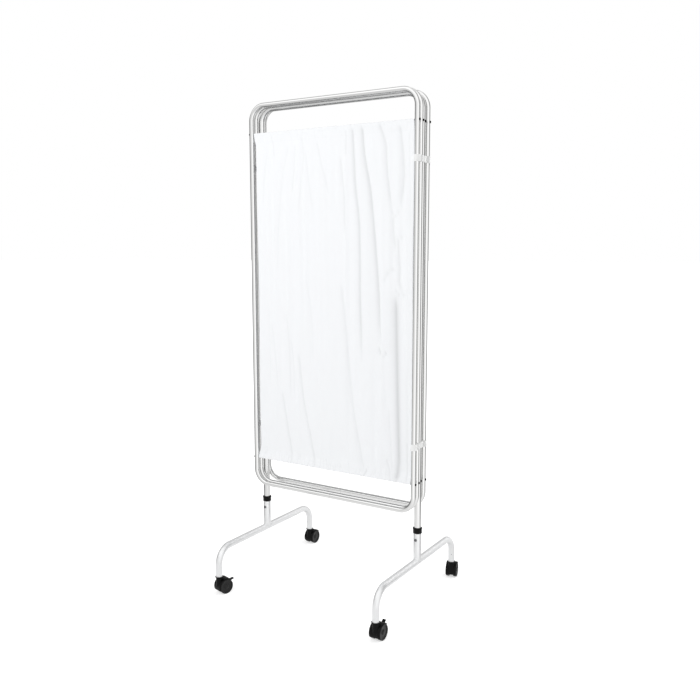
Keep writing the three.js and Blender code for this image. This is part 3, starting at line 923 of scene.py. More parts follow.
PHOTO_CREASES = (
    Crease(((.643, .995), (.652, .918), (.659, .836), (.683, .753), (.69, .641), (.69, .513), (.696, .456),
            (.703, .324)), 2.2, 17, 9, 2.7),
    Crease(((.703, .995), (.713, .916), (.749, .834), (.767, .752), (.786, .641), (.805, .516), (.806, .459),
            (.821, .372)), 5.0, 22, 7, 2.9),
    Crease(((.805, .38), (.815, .363), (.834, .36), (.86, .378)), 3.2, 8, 7, 2.4),
    Crease(((.831, .36), (.832, .318), (.845, .232), (.85, .19)), 2.6, 15, 10, 0.3),
    Crease(((.806, .996), (.842, .939), (.848, .869), (.867, .794), (.879, .756)), 3.4, 17, 8, 2.0),
    Crease(((.875, .762), (.886, .75), (.9, .75), (.921, .762)), 2.6, 8, 6, 1.3),
    Crease(((.885, .745), (.888, .696), (.9, .653)), 3.6, 10, 9, 1.3),
    Crease(((.921, .985), (.939, .909), (.946, .856), (.935, .803), (.925, .766)), 5.0, 16, 10, 1.6),
    Crease(((.972, .97), (.981, .803), (.99, .696)), 2.4, 10, 8, 0.5),
    Crease(((.911, .69), (.924, .609), (.92, .565), (.946, .535)), 4.2, 13, 8, 1.5),
    Crease(((.899, .606), (.852, .592), (.829, .565)), 2.8, 11, 9, 1.0),
    Crease(((.923, .685), (.949, .697), (.966, .69)), 2.4, 8, 7, 0.9),
    Crease(((.9, .545), (.929, .527), (.969, .543)), 3.4, 10, 8, 1.3),
    Crease(((.568, .915), (.572, .899), (.593, .809), (.597, .697)), 2.2, 14, 9, 1.3),
    Crease(((.604, .985), (.603, .915)), 1.4, 8, 7, 1.0),
    Crease(((.542, .961), (.535, .866), (.528, .754)), 1.2, 10, 9),
    Crease(((.575, .56), (.584, .506), (.603, .425), (.622, .308), (.647, .191), (.698, .057), (.716, .008)),
           4.2, 20, 10, 1.1),
    Crease(((.9, .53), (.905, .45), (.908, .378), (.917, .208), (.926, .046), (.912, .004)), 7.5, 24, 20,
           4.2),
    Crease(((.968, .32), (.977, .154), (.985, .04)), 2.6, 12, 8, 0.4),
    Crease(((.797, .2), (.834, .085)), 1.6, 10, 9),
    Crease(((.863, .21), (.876, .124), (.886, .02)), 2.2, 10, 7, 0.7),
    Crease(((.832, .3), (.771, .275), (.71, .238)), 1.8, 16, 14),
    Crease(((.851, .225), (.821, .216), (.784, .2)), 1.4, 11, 11),
    Crease(((.079, .95), (.055, .866), (.039, .79)), 1.8, 12, 10, 0.5),
    Crease(((.231, .965), (.18, .858), (.146, .699), (.138, .578)), 2.0, 13, 11, 0.5),
    Crease(((.277, .96), (.262, .873), (.247, .81)), 1.4, 8, 6, 0.8),
    Crease(((.322, .98), (.334, .928), (.308, .826), (.289, .745)), 1.4, 9, 7, 0.7),
    Crease(((.343, .94), (.368, .842), (.393, .767)), 1.4, 9, 8, 0.6),
    Crease(((.418, .965), (.446, .908), (.478, .851), (.497, .811)), 1.7, 10, 8, 0.8),
    Crease(((.12, .99), (.124, .95), (.128, .925)), 1.0, 7, 6, 0.9),
    Crease(((.09, .43), (.116, .329), (.135, .223)), 1.9, 12, 9, 0.6),
    Crease(((.197, .46), (.217, .382), (.224, .29), (.226, .197)), 1.8, 10, 8, 0.8),
    Crease(((.226, .39), (.243, .334), (.254, .198)), 1.5, 9, 8, 0.6),
    Crease(((.345, .57), (.356, .536), (.382, .448), (.386, .297)), 1.3, 10, 8, 0.45),
    Crease(((.285, .345), (.317, .202), (.356, .111), (.396, .008)), 2.4, 14, 8, 1.5),
    Crease(((.163, .22), (.203, .101), (.236, .008)), 2.3, 13, 8, 1.4),
    Crease(((.07, .48), (.078, .346), (.08, .22)), 1.5, 9, 8, 0.4),
    Crease(((.74, .022), (.727, .012), (.716, -.002)), 1.6, 6, 5, 2.6),
    Crease(((.936, .022), (.924, .012), (.912, -.002)), 2.0, 6, 5, 3.4),
    Crease(((.228, .018), (.236, .008), (.226, -.002)), 1.2, 5, 5, 2.0),
    Crease(((.39, .02), (.396, .008), (.388, -.002)), 1.2, 5, 5, 2.2),
    Crease(((.85, .06), (.87, .03), (.88, -.002)), 1.6, 8, 6, 1.6),
    Crease(((.972, .12), (.976, .04), (.974, -.002)), 2.0, 9, 6, 1.4),
)


@dataclass
class Curtain:
    """A curtain gathered on two wires, one sheet that goes round each wire and is stitched to itself."""

    place: str
    body: str
    y: float
    half: float
    hand: Hand
    seed: int
    stitches: BarTree
    columns: int
    rows: int
    cloth: float = 0.0005
    loop: float = 0.0024
    seam: float = 0.0009
    head: float = 0.029
    hem: float = 0.017
    draw_in: float = 0.009
    stand_out: float = 0.0015
    limit: float = 0.0095
    soft_folds: float = 0.0004
    scallops: float = 0.00025
    gather: float = 1.03
    drop: float = 1.0015
    sim_step: float = 0.012
    sim_frames: int = 30
    sim_share: float = 0.4

    def creases(self) -> list[Crease]:
        """Give back this curtain's folds.

        Returns:
            The front curtain's own, or for another curtain those shifted, changed and perhaps mirrored.
        """
        if self.place == "front":
            return list(PHOTO_CREASES)
        rng = np.random.default_rng(self.seed)
        shifted = []
        for crease in PHOTO_CREASES:
            move, sink = rng.uniform(-0.05, 0.05), crease.sink * rng.uniform(0.6, 1.15)
            line = tuple((min(max(x + move + rng.uniform(-.008, .008), .02), .98), z) for x, z in crease.line)
            left, right = crease.left, crease.right
            if self.hand is Hand.MIRRORED:
                line, left, right = tuple((1 - x, z) for x, z in line), right, left
            shifted.append(Crease(line, sink, left, right, crease.nip))
        return shifted

    def relief(self, across: Grid, up: Grid) -> tuple[Grid, Grid]:
        """Work out how far the tucks sink the cloth.

        Args:
            across: shares from the left edge, a grid.
            up: shares from the lower wire, a grid.

        Returns:
            The depth in metres, and the shade painted in the nips, from 0 to 1.
        """
        wide, tall = 2 * self.half * IN_METRE, WIRE_SPAN * IN_METRE
        x, z = across * wide, up * tall
        sunk, shade = np.zeros_like(x), np.zeros_like(x)
        for crease in self.creases():
            depth, nip = crease.dent(x, z, wide, tall)
            sunk += depth / IN_METRE
            shade = np.maximum(shade, nip)
        return sunk, shade

    def hung(self, across: Grid, up: Grid) -> Grid:
        """Let the cloth settle between its wires.

        Args:
            across: shares from the left edge, one for each column.
            up: shares from the lower wire, one for each row.

        Returns:
            The settled offsets of the grid's points, an array of rows by columns by three.
        """
        wide = 2 * self.half
        nx, nz = int(wide / self.sim_step) + 1, int(WIRE_SPAN / self.sim_step) + 1
        u, v = np.meshgrid(np.linspace(0, 1, nx), np.linspace(0, 1, nz))
        flat = np.stack([u * wide - self.half, np.zeros_like(u), v * WIRE_SPAN], axis=-1)
        rng = np.random.default_rng(self.seed)
        start = flat.copy()
        ripple = sum(rng.uniform(0.4, 1)
                     * np.sin(math.tau * (u * k + rng.uniform(0, 1) + 0.25 * v * rng.normal()))
                     for k in (5, 8, 13, 19))
        held = smoothstep(np.minimum(v, 1 - v), 0, 0.04)
        start[..., 1] = 0.7 * self.relief(u, v)[0] * held + 0.0011 * ripple * (0.35 + 0.65 * held)
        index = np.arange(nx * nz).reshape(nz, nx)
        faces = np.stack([index[:-1, :-1], index[:-1, 1:], index[1:, 1:], index[1:, :-1]], axis=-1)
        mesh = bpy.data.meshes.new("hang")
        mesh.from_pydata(start.reshape(-1, 3).tolist(), [], faces.reshape(-1, 4).tolist())
        cloth = bpy.data.objects.new("hang", mesh)
        scene = bpy.context.scene
        scene.collection.objects.link(cloth)
        cloth.shape_key_add(name="hung")
        wider = cloth.shape_key_add(name="cut")
        wider.data.foreach_set("co", (flat * (self.gather, 1, self.drop)).reshape(-1).astype(np.float32))
        cloth.vertex_groups.new(name="pins").add(index[[0, -1], :].ravel().tolist(), 1.0, "REPLACE")
        self.set_cloth(cloth.modifiers.new("cloth", "CLOTH"), wider)
        for number in range(1, self.sim_frames + 1):
            scene.frame_set(number)
        settled = np.zeros(nx * nz * 3, np.float32)
        seen = cloth.evaluated_get(bpy.context.evaluated_depsgraph_get())
        seen.data.vertices.foreach_get("co", settled)
        scene.frame_set(1)
        bpy.data.objects.remove(cloth)
        bpy.data.meshes.remove(mesh)
        fine = self.along(settled.reshape(nz, nx, 3) - flat, up)
        return self.along(fine.transpose(1, 0, 2), across).transpose(1, 0, 2)

    def set_cloth(self, modifier: bpy.types.ClothModifier, cut: bpy.types.ShapeKey) -> None:
        """Set how the cloth hangs.

        Args:
            modifier: the cloth modifier.
            cut: the shape that the cloth was cut to.
        """
        feel = {"vertex_group_mass": "pins", "quality": 6, "mass": 0.12, "tension_stiffness": 12,
                "compression_stiffness": 12, "shear_stiffness": 4, "bending_stiffness": 0.6, "air_damping": 2,
                "tension_damping": 15, "compression_damping": 15, "rest_shape_key": cut}
        for name, value in feel.items():
            setattr(modifier.settings, name, value)
        modifier.collision_settings.use_collision = False
        modifier.collision_settings.use_self_collision = False
        modifier.point_cache.frame_start, modifier.point_cache.frame_end = 1, self.sim_frames

    @staticmethod
    def along(values: Grid, places: Grid) -> Grid:
        """Draw smooth curves through rows of values, and look them up.

        Args:
            values: the rows, along the first axis.
            places: shares of that axis.

        Returns:
            The values at those shares.
        """
        n = len(values)
        at = np.clip(places, 0, 1) * (n - 1)
        i = np.clip(at.astype(int), 0, n - 2)
        t = (at - i)[:, None, None]
        p0, p1, p2, p3 = (values[np.clip(i + k, 0, n - 1)] for k in (-1, 0, 1, 2))
        return p1 + 0.5 * t * (p2 - p0 + t * (2 * p0 - 5 * p1 + 4 * p2 - p3 + t * (3 * (p1 - p2) + p3 - p0)))

    def section(self) -> list[tuple[float, float, float]]:
        """Give back the sheet's rows from the back seam at the head to the back seam at the hem.

        Returns:
            For each row its height, its offset from the frame's plane, and its length along the cloth.
        """
        r, seam = self.loop, self.seam
        low, high = WIRE_LOW + self.hem, WIRE_HIGH - self.head
        ways, bends = np.linspace(0, 1, 6), np.linspace(0, math.pi, 9)
        rows = [(WIRE_HIGH - self.head * (1 - share), seam + (r - seam) * share ** 1.5)
                for share in ways[:-1]]
        rows += [(WIRE_HIGH + r * math.sin(a), r * math.cos(a)) for a in bends]
        rows += [(WIRE_HIGH - self.head * share, -r + r * share ** 0.6) for share in ways[1:]]
        rows += [(high + (low - high) * share, 0.0) for share in np.linspace(0, 1, self.rows + 1)[1:]]
        ways = np.linspace(0, 1, 5)
        rows += [(WIRE_LOW + self.hem * (1 - share), -r * share ** 1.5) for share in ways[1:-1]]
        rows += [(WIRE_LOW - r * math.sin(a), -r * math.cos(a)) for a in bends]
        rows += [(WIRE_LOW + self.hem * share, r + (seam - r) * share ** 0.6) for share in ways[1:]]
        run = np.r_[0, np.cumsum(np.hypot(*np.diff(np.array(rows), axis=0).T))]
        return [(z, y, s) for (z, y), s in zip(rows, run)]

    def puckers(self, across: Grid, height: Grid) -> tuple[Grid, Grid]:
        """Work out the short slanting puckers that the gathering makes in the two stitched bands.

        Args:
            across: shares from the left edge, a grid.
            height: heights of the rows, a grid.

        Returns:
            The offset towards the back in metres, and the shade painted in the nips, from 0 to 1.
        """
        rng = np.random.default_rng(self.seed + 50)
        wide, tall = 2 * self.half * IN_METRE, WIRE_SPAN * IN_METRE
        total, painted_pucker_shade = np.zeros_like(across), np.zeros_like(across)
        for level, way, band, deep, most in ((1, -1, self.head, 0.5, 0.05), (0, 1, self.hem, 1.2, 0.026)):
            wire = WIRE_HIGH if level else WIRE_LOW
            rows = np.flatnonzero(np.abs(height[:, 0] - wire) < band + 0.045)
            x, z = across[rows] * wide, (height[rows] - WIRE_LOW) * IN_METRE
            sunk, shade = np.zeros_like(x), np.zeros_like(x)
            for place in np.cumsum(rng.uniform(0.008, most, 60)):
                if place < 0.985:
                    slant, long = rng.uniform(-0.02, 0.02), band + rng.uniform(-0.006, 0.022)
                    line = ((place, level), (place + slant, level + way * long / WIRE_SPAN))[::-way]
                    tuck = Crease(line, rng.uniform(0.2, deep), 5.0, 3.0, rng.uniform(0, deep))
                    depth, nip = tuck.dent(x, z, wide, tall)
                    sunk, shade = sunk + depth, np.maximum(shade, nip)
            total[rows] += sunk / IN_METRE * smoothstep(np.abs(height[rows] - wire), 0.0025, 0.008)
            # Painted shade: kept in the puckers' nips, for the cloth's colour.
            painted_pucker_shade[rows] = shade
        return total, painted_pucker_shade

    def build(self, wires: list[Thing]) -> Thing:
        """Build the cloth and its stitches.

        Args:
            wires: the rods that it hangs on, which are not used.

        Returns:
            The cloth.
        """
        rows = self.section()
        height, offset, run = np.array(rows).T
        across = np.linspace(0, 1, self.columns + 1)
        up = np.clip((height - WIRE_LOW) / WIRE_SPAN, 0, 1)
        u, v = np.meshgrid(across, up)
        z = np.repeat(height[:, None], self.columns + 1, axis=1)
        drape = self.hung(across, up)
        from_wire = np.minimum(np.abs(z - WIRE_LOW), np.abs(WIRE_HIGH - z))
        free = smoothstep(from_wire, 0.003, 0.034)
        sunk, nip = self.relief(u, v)
        puckers, painted_pucker_shade = self.puckers(u, z)
        rng = np.random.default_rng(self.seed + 9)
        folds = sum(rng.uniform(0.5, 1)
                    * np.sin(math.tau * (k * u + rng.uniform(0, 1) + rng.uniform(-.7, .7) * v))
                    * np.sin(math.pi * np.clip(v * rng.uniform(0.8, 1.3) + rng.uniform(-.2, .2), 0, 1))
                    for k in (7, 11, 16, 23)) * self.soft_folds
        depth = self.sim_share * drape[..., 1] + (1 - self.sim_share) * sunk + folds
        depth = self.limit * np.tanh(depth / self.limit) * free + puckers
        edge = self.draw_in * smoothstep(from_wire, 0.01, 0.05) * (0.88 + 0.12 * np.sin(9 * v + self.seed))
        far = u if self.hand is Hand.PLAIN else 1 - u
        pull = edge * smoothstep(1 - far, 0.55, 1) + self.stand_out * smoothstep(far, 0.6, 1)
        x = (2 * u - 1) * self.half + pull * self.hand.value + 0.5 * drape[..., 0] * free
        z = z + self.sim_share * drape[..., 2] * free * smoothstep(from_wire, 0.03, 0.12)
        scallop = sum(np.sin(math.tau * (k * u + rng.uniform(0, 1))) for k in (9, 23, 37)) * self.scallops
        z = z + scallop * (np.abs(height - WIRE_HIGH) < 0.004)[:, None]
        points = np.stack([x, self.y + offset[:, None] + depth, z], axis=-1)
        # The cloth carries the painted shade of the tucks and the puckers on its points.
        cloth = self.sheet_object(points, run, np.maximum(nip, painted_pucker_shade))
        threads = self.sew(points, height)
        settle(cloth, self.body, Slot.CLOTH, self.place + "_curtain")
        settle(threads, self.body, Slot.CLOTH)
        return cloth

    def sheet_object(self, points: Grid, run: Grid, nip: Grid) -> Thing:
        """Make the grid of points a sheet with its own map, the painted shade of its nips, and its thickness.

        Args:
            points: rows by columns by three.
            run: each row's length along the cloth.
            nip: the shade painted in the nips, rows by columns.

        Returns:
            The cloth.
        """
        name = self.place + "_curtain_cloth"
        rows, columns = points.shape[:2]
        index = np.arange(rows * columns).reshape(rows, columns)
        quads = np.stack([index[:-1, :-1], index[1:, :-1], index[1:, 1:], index[:-1, 1:]], axis=-1)
        mesh = bpy.data.meshes.new(name)
        mesh.from_pydata(points.reshape(-1, 3).tolist(), [], quads.reshape(-1, 4).tolist())
        places = np.linspace(0, 2 * self.half, columns)
        spots = np.stack(np.broadcast_arrays(places[None, :], run[:, None]), axis=-1)
        corner = np.zeros(len(mesh.loops), np.int32)
        mesh.loops.foreach_get("vertex_index", corner)
        layer = mesh.uv_layers.new(name="cloth")
        layer.data.foreach_set("uv", spots.reshape(-1, 2)[corner].reshape(-1).astype(np.float32))
        # Painted shade: stored on the points, so that the cloth's colour darkens in the nips.
        shade = mesh.attributes.new("nip", "FLOAT", "POINT")
        shade.data.foreach_set("value", nip.reshape(-1).astype(np.float32))
        mesh.materials.append(CLOTH.material())
        made = linked(name, mesh, 80)
        wall = made.modifiers.new("cloth_thickness", "SOLIDIFY")
        wall.thickness, wall.offset = self.cloth, 0
        return made

    def sew(self, points: Grid, height: Grid) -> Thing:
        """Stitch the two pockets along their seams, seen on the front and the back.

        Args:
            points: the cloth's points, rows by columns by three.
            height: the rows' heights before they were draped.

        Returns:
            The stitches.
        """
        lift = self.cloth / 2 + 0.00005
        lines = []
        for level in (WIRE_HIGH - self.head, WIRE_LOW + self.hem):
            found = np.flatnonzero(np.abs(height - level) < 1e-6)
            first, last = points[found[0]], points[found[-1]]
            for row, other in ((first, last), (last, first)):
                front = row[:, 1].mean() <= other[:, 1].mean()
                lines.append((row + (0, -lift if front else lift, 0))[2:-2])
        return self.stitches.grow(self.place + "_curtain_stitches", lines, THREAD, Pitch=0.0034,
                                  Length=0.0024, Thickness=0.00045)


# Hinge clips

@dataclass
class HingeClips:
    """The two clips that join a stile to its neighbour, each two rings on a short web."""

    place: str
    first: Point
    second: Point
    height: float = 0.02
    wall: float = 0.002
    gap: float = 0.0002
    web: float = 0.010
    fillet: float = 0.0024
    soft: float = 0.0005

    def outline(self) -> tuple[list[Profile], float]:
        """Draw the outline and the holes with the first ring at the origin.

        Returns:
            The outline and the two holes, and the turn about Z in radians.
        """
        (x1, y1, d1), (x2, y2, d2) = self.first, self.second
        spacing = math.hypot(x2 - x1, y2 - y1)
        half, f, right_angle = self.web / 2, self.fillet, math.pi / 2
        big, small = [d / 2 + self.gap + self.wall for d in (d1, d2)]
        a, b = [math.asin((half + f) / (r + f)) for r in (big, small)]
        upper, lower = -(big + f) * math.cos(a), -spacing + (small + f) * math.cos(b)
        points = arc(0, 0, big, -right_angle + a, 3 * right_angle - a, 40)
        points += arc(-half - f, upper, f, right_angle - a, 0, 6)
        points += arc(-half - f, lower, f, 0, -right_angle + b, 6)
        points += arc(0, -spacing, small, right_angle + b, 5 * right_angle - b, 40)
        points += arc(half + f, lower, f, 3 * right_angle - b, math.pi, 6)
        points += arc(half + f, upper, f, math.pi, right_angle + a, 6)
        holes = [arc(0, y, d / 2 + self.gap, 0, math.tau, 41)[:-1] for y, d in ((0, d1), (-spacing, d2))]
        return [points, *holes], math.atan2(x2 - x1, -(y2 - y1))

    def build(self) -> None:
        """Build both clips with softly rounded edges."""
        loops, turn = self.outline()
        for level, z in CLIP_LEVELS.items():
            name = f"{self.place}_{level}_hinge_clip"
            curve = bpy.data.curves.new(name, "CURVE")
            curve.dimensions, curve.fill_mode, curve.offset = "2D", "BOTH", -self.soft
            curve.extrude, curve.bevel_depth = self.height / 2 - self.soft, self.soft
            curve.bevel_resolution = 2
            for loop in loops:
                spline = curve.splines.new("POLY")
                spline.points.add(len(loop) - 1)
                for point, (x, y) in zip(spline.points, loop):
                    point.co = (x, y, 0, 1)
                spline.use_cyclic_u = True
            mesh = baked(bpy.data.objects.new(name, curve), name)
            mesh.transform(Matrix.Translation((*self.first[:2], z)) @ Matrix.Rotation(turn, 4, "Z"))
            made = linked(name, welded(mesh, NYLON, 1e-5), 30)
            settle(made, self.place + "_clips", Slot.CLIP, f"{self.place}_{level}_clip")


# Legs and castors

@dataclass
class Leg:
    """An arched foot tube, the sleeve that is welded on it, the collar and the screw."""

    side: Side
    tubes: TubeTree
    tube: float = 0.022
    bend: float = 0.055
    foot_end: float = 0.0608
    sleeve: float = 0.025
    weld: float = 0.0013
    screw_height: float = 0.231

    @property
    def name(self) -> str:
        """The side's name."""
        return self.side.name.lower()

    @property
    def x(self) -> float:
        """The leg's place across the screen."""
        return self.side.value * BASE_STILE

    def build(self) -> None:
        """Build the leg."""
        self.build_foot()
        self.build_sleeve()
        self.build_collar()
        self.build_screw()

    def build_foot(self) -> None:
        """Bend the foot tube."""
        ends = (STACK_Y - FOOT_SPREAD / 2, STACK_Y + FOOT_SPREAD / 2)
        corners = [(self.x, ends[0], self.foot_end), *((self.x, y, FOOT_HEIGHT) for y in ends),
                   (self.x, ends[1], self.foot_end)]
        foot = self.tubes.grow(self.name + "_foot_bend", [bent_line(corners, self.bend, 24)], LEG_PAINT,
                               Radius=self.tube / 2, Sides=44)
        settle(foot, "base", Slot.LEG, self.name + "_foot_tube")

    def seat(self, x: float, y: float) -> float:
        """Give back the height at which the sleeve meets the foot tube."""
        return FOOT_HEIGHT + math.sqrt(max((self.tube / 2) ** 2 - x * x, 0))

    def build_sleeve(self) -> None:
        """Saddle the sleeve on the foot and lay the weld bead round it."""
        outer = self.sleeve / 2
        shape = saddled(outer, BASE_TUBE / 2 + 0.0003, SLEEVE_TOP, self.seat).at(self.x, STACK_Y, 0)
        settle(piece(self.name + "_leg_sleeve", shape, LEG_PAINT, 50), "base", Slot.LEG,
               self.name + "_sleeve")
        line = []
        for angle in np.linspace(0, math.tau, 97):
            x, y = outer * math.cos(angle), outer * math.sin(angle)
            ripple = 0.00025 * math.sin(24 * angle)
            line.append((self.x + x * 1.01, STACK_Y + y * 1.01, self.seat(x, y) + 0.0003 + ripple))
        bead = self.tubes.grow(self.name + "_leg_weld", [np.array(line)], LEG_PAINT, Radius=self.weld,
                               Sides=10)
        settle(bead, "base", Slot.LEG)

    def build_collar(self) -> None:
        """Cap the sleeve with the black collar, whose top rim stands out a little."""
        low, high, outer, inner = 0.2525, 0.271, 0.01445, BASE_TUBE / 2 + 0.0002
        seat, rest = self.sleeve / 2 + 0.0002, SLEEVE_TOP + 0.0003
        profile = [(seat, low), (outer - 0.0004, low), (outer, low + 0.0005), (outer, high - 0.0065),
                   (outer + 0.0006, high - 0.0055), (outer + 0.0008, high - 0.0024),
                   (outer + 0.0003, high - 0.0009), (outer - 0.0008, high - 0.0001), (inner + 0.0005, high),
                   (inner, high - 0.0006), (inner, rest), (seat, rest)]
        shape = turned(profile, 56).at(self.x, STACK_Y, 0)
        settle(piece(self.name + "_leg_collar", shape, BLACK, 40), "base", Slot.BLACK, self.name + "_collar")

    def build_screw(self) -> None:
        """Set the pan-head screw in the sleeve."""
        r, h = 0.00475, 0.003
        profile = [(0, -0.012), (0.003, -0.012), (0.003, 0), (r, 0), (r, h * 0.35), (r * 0.93, h * 0.7),
                   (r * 0.78, h * 0.93), (r * 0.55, h), (r * 0.5, h * 0.35), (0, h * 0.35)]
        shape = turned(profile, 24).moved(Matrix.Rotation(math.pi / 2, 4, "X"))
        shape = shape.at(self.x, STACK_Y - self.sleeve / 2 - 0.0001, self.screw_height)
        settle(piece(self.name + "_leg_screw", shape, DARK_STEEL), "base", Slot.STEEL,
               self.name + "_sleeve_screw")


@dataclass
class Castor:
    """A twin-wheel castor turned about its stem: socket, hood, wheels, and at the front a brake pedal."""

    place: str
    x: float
    y: float
    ribs: BarTree
    swivel: float
    pedal_angle: float | None = None
    hood_inner: float = 0.0261
    hood_outer: float = 0.028
    hood_width: float = 0.038
    web: float = 0.0134
    bore: float = 0.0043
    boss_top: float = 0.0574
    start: float = 40.0
    end: float = 205.0
    hinge: tuple[float, float] = (0.022184, 0.013172)

    def build(self) -> None:
        """Build the castor."""
        name = self.place + "_castor"
        settle(piece(name + "_socket", self.socket(), BLACK, 40), "base", Slot.BLACK, self.place + "_socket")
        hood = self.fender().with_(self.middle(), self.boss())
        settle(piece(name + "_hood", hood, BLACK, 40, 0.0004), name, Slot.BLACK, self.place + "_hood")
        for side in Side:
            wheel = f"{self.place}_{side.name.lower()}_wheel"
            settle(piece(wheel + "_disc", self.wheel(side), TREAD, 40), wheel + "_body", Slot.WHEEL, wheel)
        if self.pedal_angle is not None:
            self.build_pedal(self.pedal_angle)

    def at_stem(self, shape: Shape) -> Shape:
        """Turn a shape by the swivel angle and move it to the stem."""
        return shape.moved(Matrix.Rotation(math.radians(self.swivel), 4, "Z")).at(self.x, self.y, 0)

    def at_axle(self, shape: Shape) -> Shape:
        """Move a shape to the axle."""
        return self.at_stem(shape.at(0, CASTOR_TRAIL, AXLE_HEIGHT))

    def socket(self) -> Shape:
        """Draw the flange under the foot's end and the plug inside it.

        Returns:
            The socket in its place.
        """
        low, plug, tall = self.boss_top + 0.0003, 0.009, 0.027
        profile = [(self.bore, low), (0.0115, low), (0.0126, low + 0.0009), (0.0137, low + 0.0034),
                   (0.0135, low + 0.0042), (0.0129, low + 0.0044), (0.0117, low + 0.0031),
                   (plug, low + 0.003), (plug, low + tall), (self.bore, low + tall)]
        return turned(profile, 48).at(self.x, self.y, 0)

    def fender(self) -> Shape:
        """Draw the hood's shell over both wheels, with rounded shoulders.

        Returns:
            The shell in its place.
        """
        w, a, b = self.hood_width / 2, self.hood_inner, self.hood_outer
        shoulder = [(w, a + 0.0006), (w - 0.0005, b - 0.0006), (w - 0.002, b - 0.0001), (w / 2, b)]
        loop = [(-w, a), *((-x, r) for x, r in shoulder), *shoulder[::-1], (w, a), (0, a)]
        angles = np.radians(np.linspace(self.start, self.end, 49))
        points = [(x, r * math.cos(t), r * math.sin(t)) for t in angles for x, r in loop]
        ends = [tuple(range(len(loop))), tuple(range(len(points) - len(loop), len(points)))]
        return self.at_axle(Shape(np.array(points), ring_faces(len(angles), len(loop), False) + ends))

    def middle(self) -> Shape:
        """Draw the web between the wheels.

        Returns:
            The web in its place.
        """
        outline = arc(0, 0, self.hood_inner + 0.0008, math.radians(44.5), math.radians(self.end - 1), 36)
        outline += arc(0, 0, 0.017, math.radians(self.end), math.tau, 24)
        return self.at_axle(prism(outline, self.web))

    def boss(self) -> Shape:
        """Draw the upright boss that holds the stem, cut to the hood's curve.

        Returns:
            The boss in its place.
        """
        mean = (self.hood_inner + self.hood_outer) / 2

        def seat(x: float, y: float) -> float:
            """Give back the height of the hood under a place on the boss."""
            return AXLE_HEIGHT + math.sqrt(max(mean ** 2 - (y - CASTOR_TRAIL) ** 2, 0.003 ** 2))

        return self.at_stem(saddled(0.011, self.bore, self.boss_top, seat, 48))

    def wheel(self, side: Side) -> Shape:
        """Draw a wheel with a rounded tread, a rim ring, a dished face and a hub cap.

        Args:
            side: the side of the castor that it is on.

        Returns:
            The wheel in its place.
        """
        section = ((0, .3), (22, .3), (24.3, .3), (24.85, .8), (25, 1.8), (25, 10), (24.8, 11.2),
                   (24.1, 11.9), (22.4, 12), (20.7, 11.9), (20.2, 11.4), (19.9, 10.2), (19, 9.8), (10.5, 9.6),
                   (9.3, 9.7), (8, 10.2), (7.3, 11.4), (7, 12), (6.2, 12.5), (4, 12.9), (0, 13))
        disc = turned([(r / IN_METRE, h / IN_METRE) for r, h in section], 72)
        disc = disc.moved(Matrix.Rotation(side.value * math.pi / 2, 4, "Y"))
        return self.at_axle(disc.at(side.value * (self.web / 2 + 0.0003), 0, 0))

    def build_pedal(self, lean: float) -> None:
        """Build the brake pedal with its knuckle, its turned-up end and its ribs.

        Args:
            lean: how far it slopes up, in degrees.
        """
        thick, long, width = 0.0013, 0.0165, 0.011
        outline = arc(0, 0, 0.0028, 0.55, math.tau - 0.55, 20)
        outline += [(0.006, -thick), (long - 0.004, -thick), (long - 0.001, -thick + 0.0004), (long, 0.0002),
                    (long - 0.0001, 0.0013), (long - 0.0008, 0.0017), (long - 0.002, 0.0015),
                    (long - 0.0045, thick), (0.006, thick)]
        c, s = math.cos(math.radians(lean)), math.sin(math.radians(lean))
        y, z = self.hinge
        *tipped, low, high = [(y + u * c - v * s, z + u * s + v * c)
                              for u, v in (*outline, (0.0065, thick), (0.0125, thick))]
        lever = self.at_axle(prism(tipped, width))
        ends = self.at_axle(Shape(np.array([(0, *low), (0, *high)]), []))
        body = self.place + "_pedal"
        settle(piece(body + "_lever", lever, BLACK, 40, 0.0004), body, Slot.BLACK,
               self.place + "_brake_pedal")
        turn = math.radians(self.swivel)
        ribs = self.ribs.grow(body + "_ribs", [ends.points], BLACK, Pitch=0.0015, Length=0.009,
                              Thickness=0.0008, Direction=(math.cos(turn), math.sin(turn), 0))
        settle(ribs, body, Slot.BLACK)


# Stop rivets

@dataclass
class Rivets:
    """The stop rivets on the stiles below the clips, and the pins through the feet's rear ends."""

    tree: RivetTree
    below: float = 0.0145
    pin_height: float = 0.09
    pin_turn: float = 25.0
    foot: float = 0.022

    def build(self) -> None:
        """Set the rivets and the pins."""
        for place, x, step in (("front", WING_STILE, -2), ("middle", -WING_STILE, -1),
                               ("rear", WING_STILE, 1)):
            out = math.copysign(1, x)
            points = np.array([(x + out * WING_TUBE / 2, STACK_Y + step * PITCH, z - self.below)
                               for z in CLIP_LEVELS.values()])
            heads = self.tree.grow(place + "_stop_rivets", [points[:1], points[1:]], STEEL, Diameter=0.0045,
                                   Height=0.0011, Facing=(out, 0, 0))
            settle(heads, place + "_wing", Slot.STEEL)
        turn = math.radians(self.pin_turn)
        for side in Side:
            way = np.array((side.value * math.sin(turn), -math.cos(turn), 0))
            place = np.array((side.value * BASE_STILE, STACK_Y + FOOT_SPREAD / 2, self.pin_height))
            spot = (place + self.foot / 2 * way)[None, :]
            pin = self.tree.grow(side.name.lower() + "_socket_pin", [spot], STEEL, Diameter=0.004,
                                 Height=0.0005, Facing=tuple(way))
            settle(pin, "base", Slot.STEEL)


# Studio

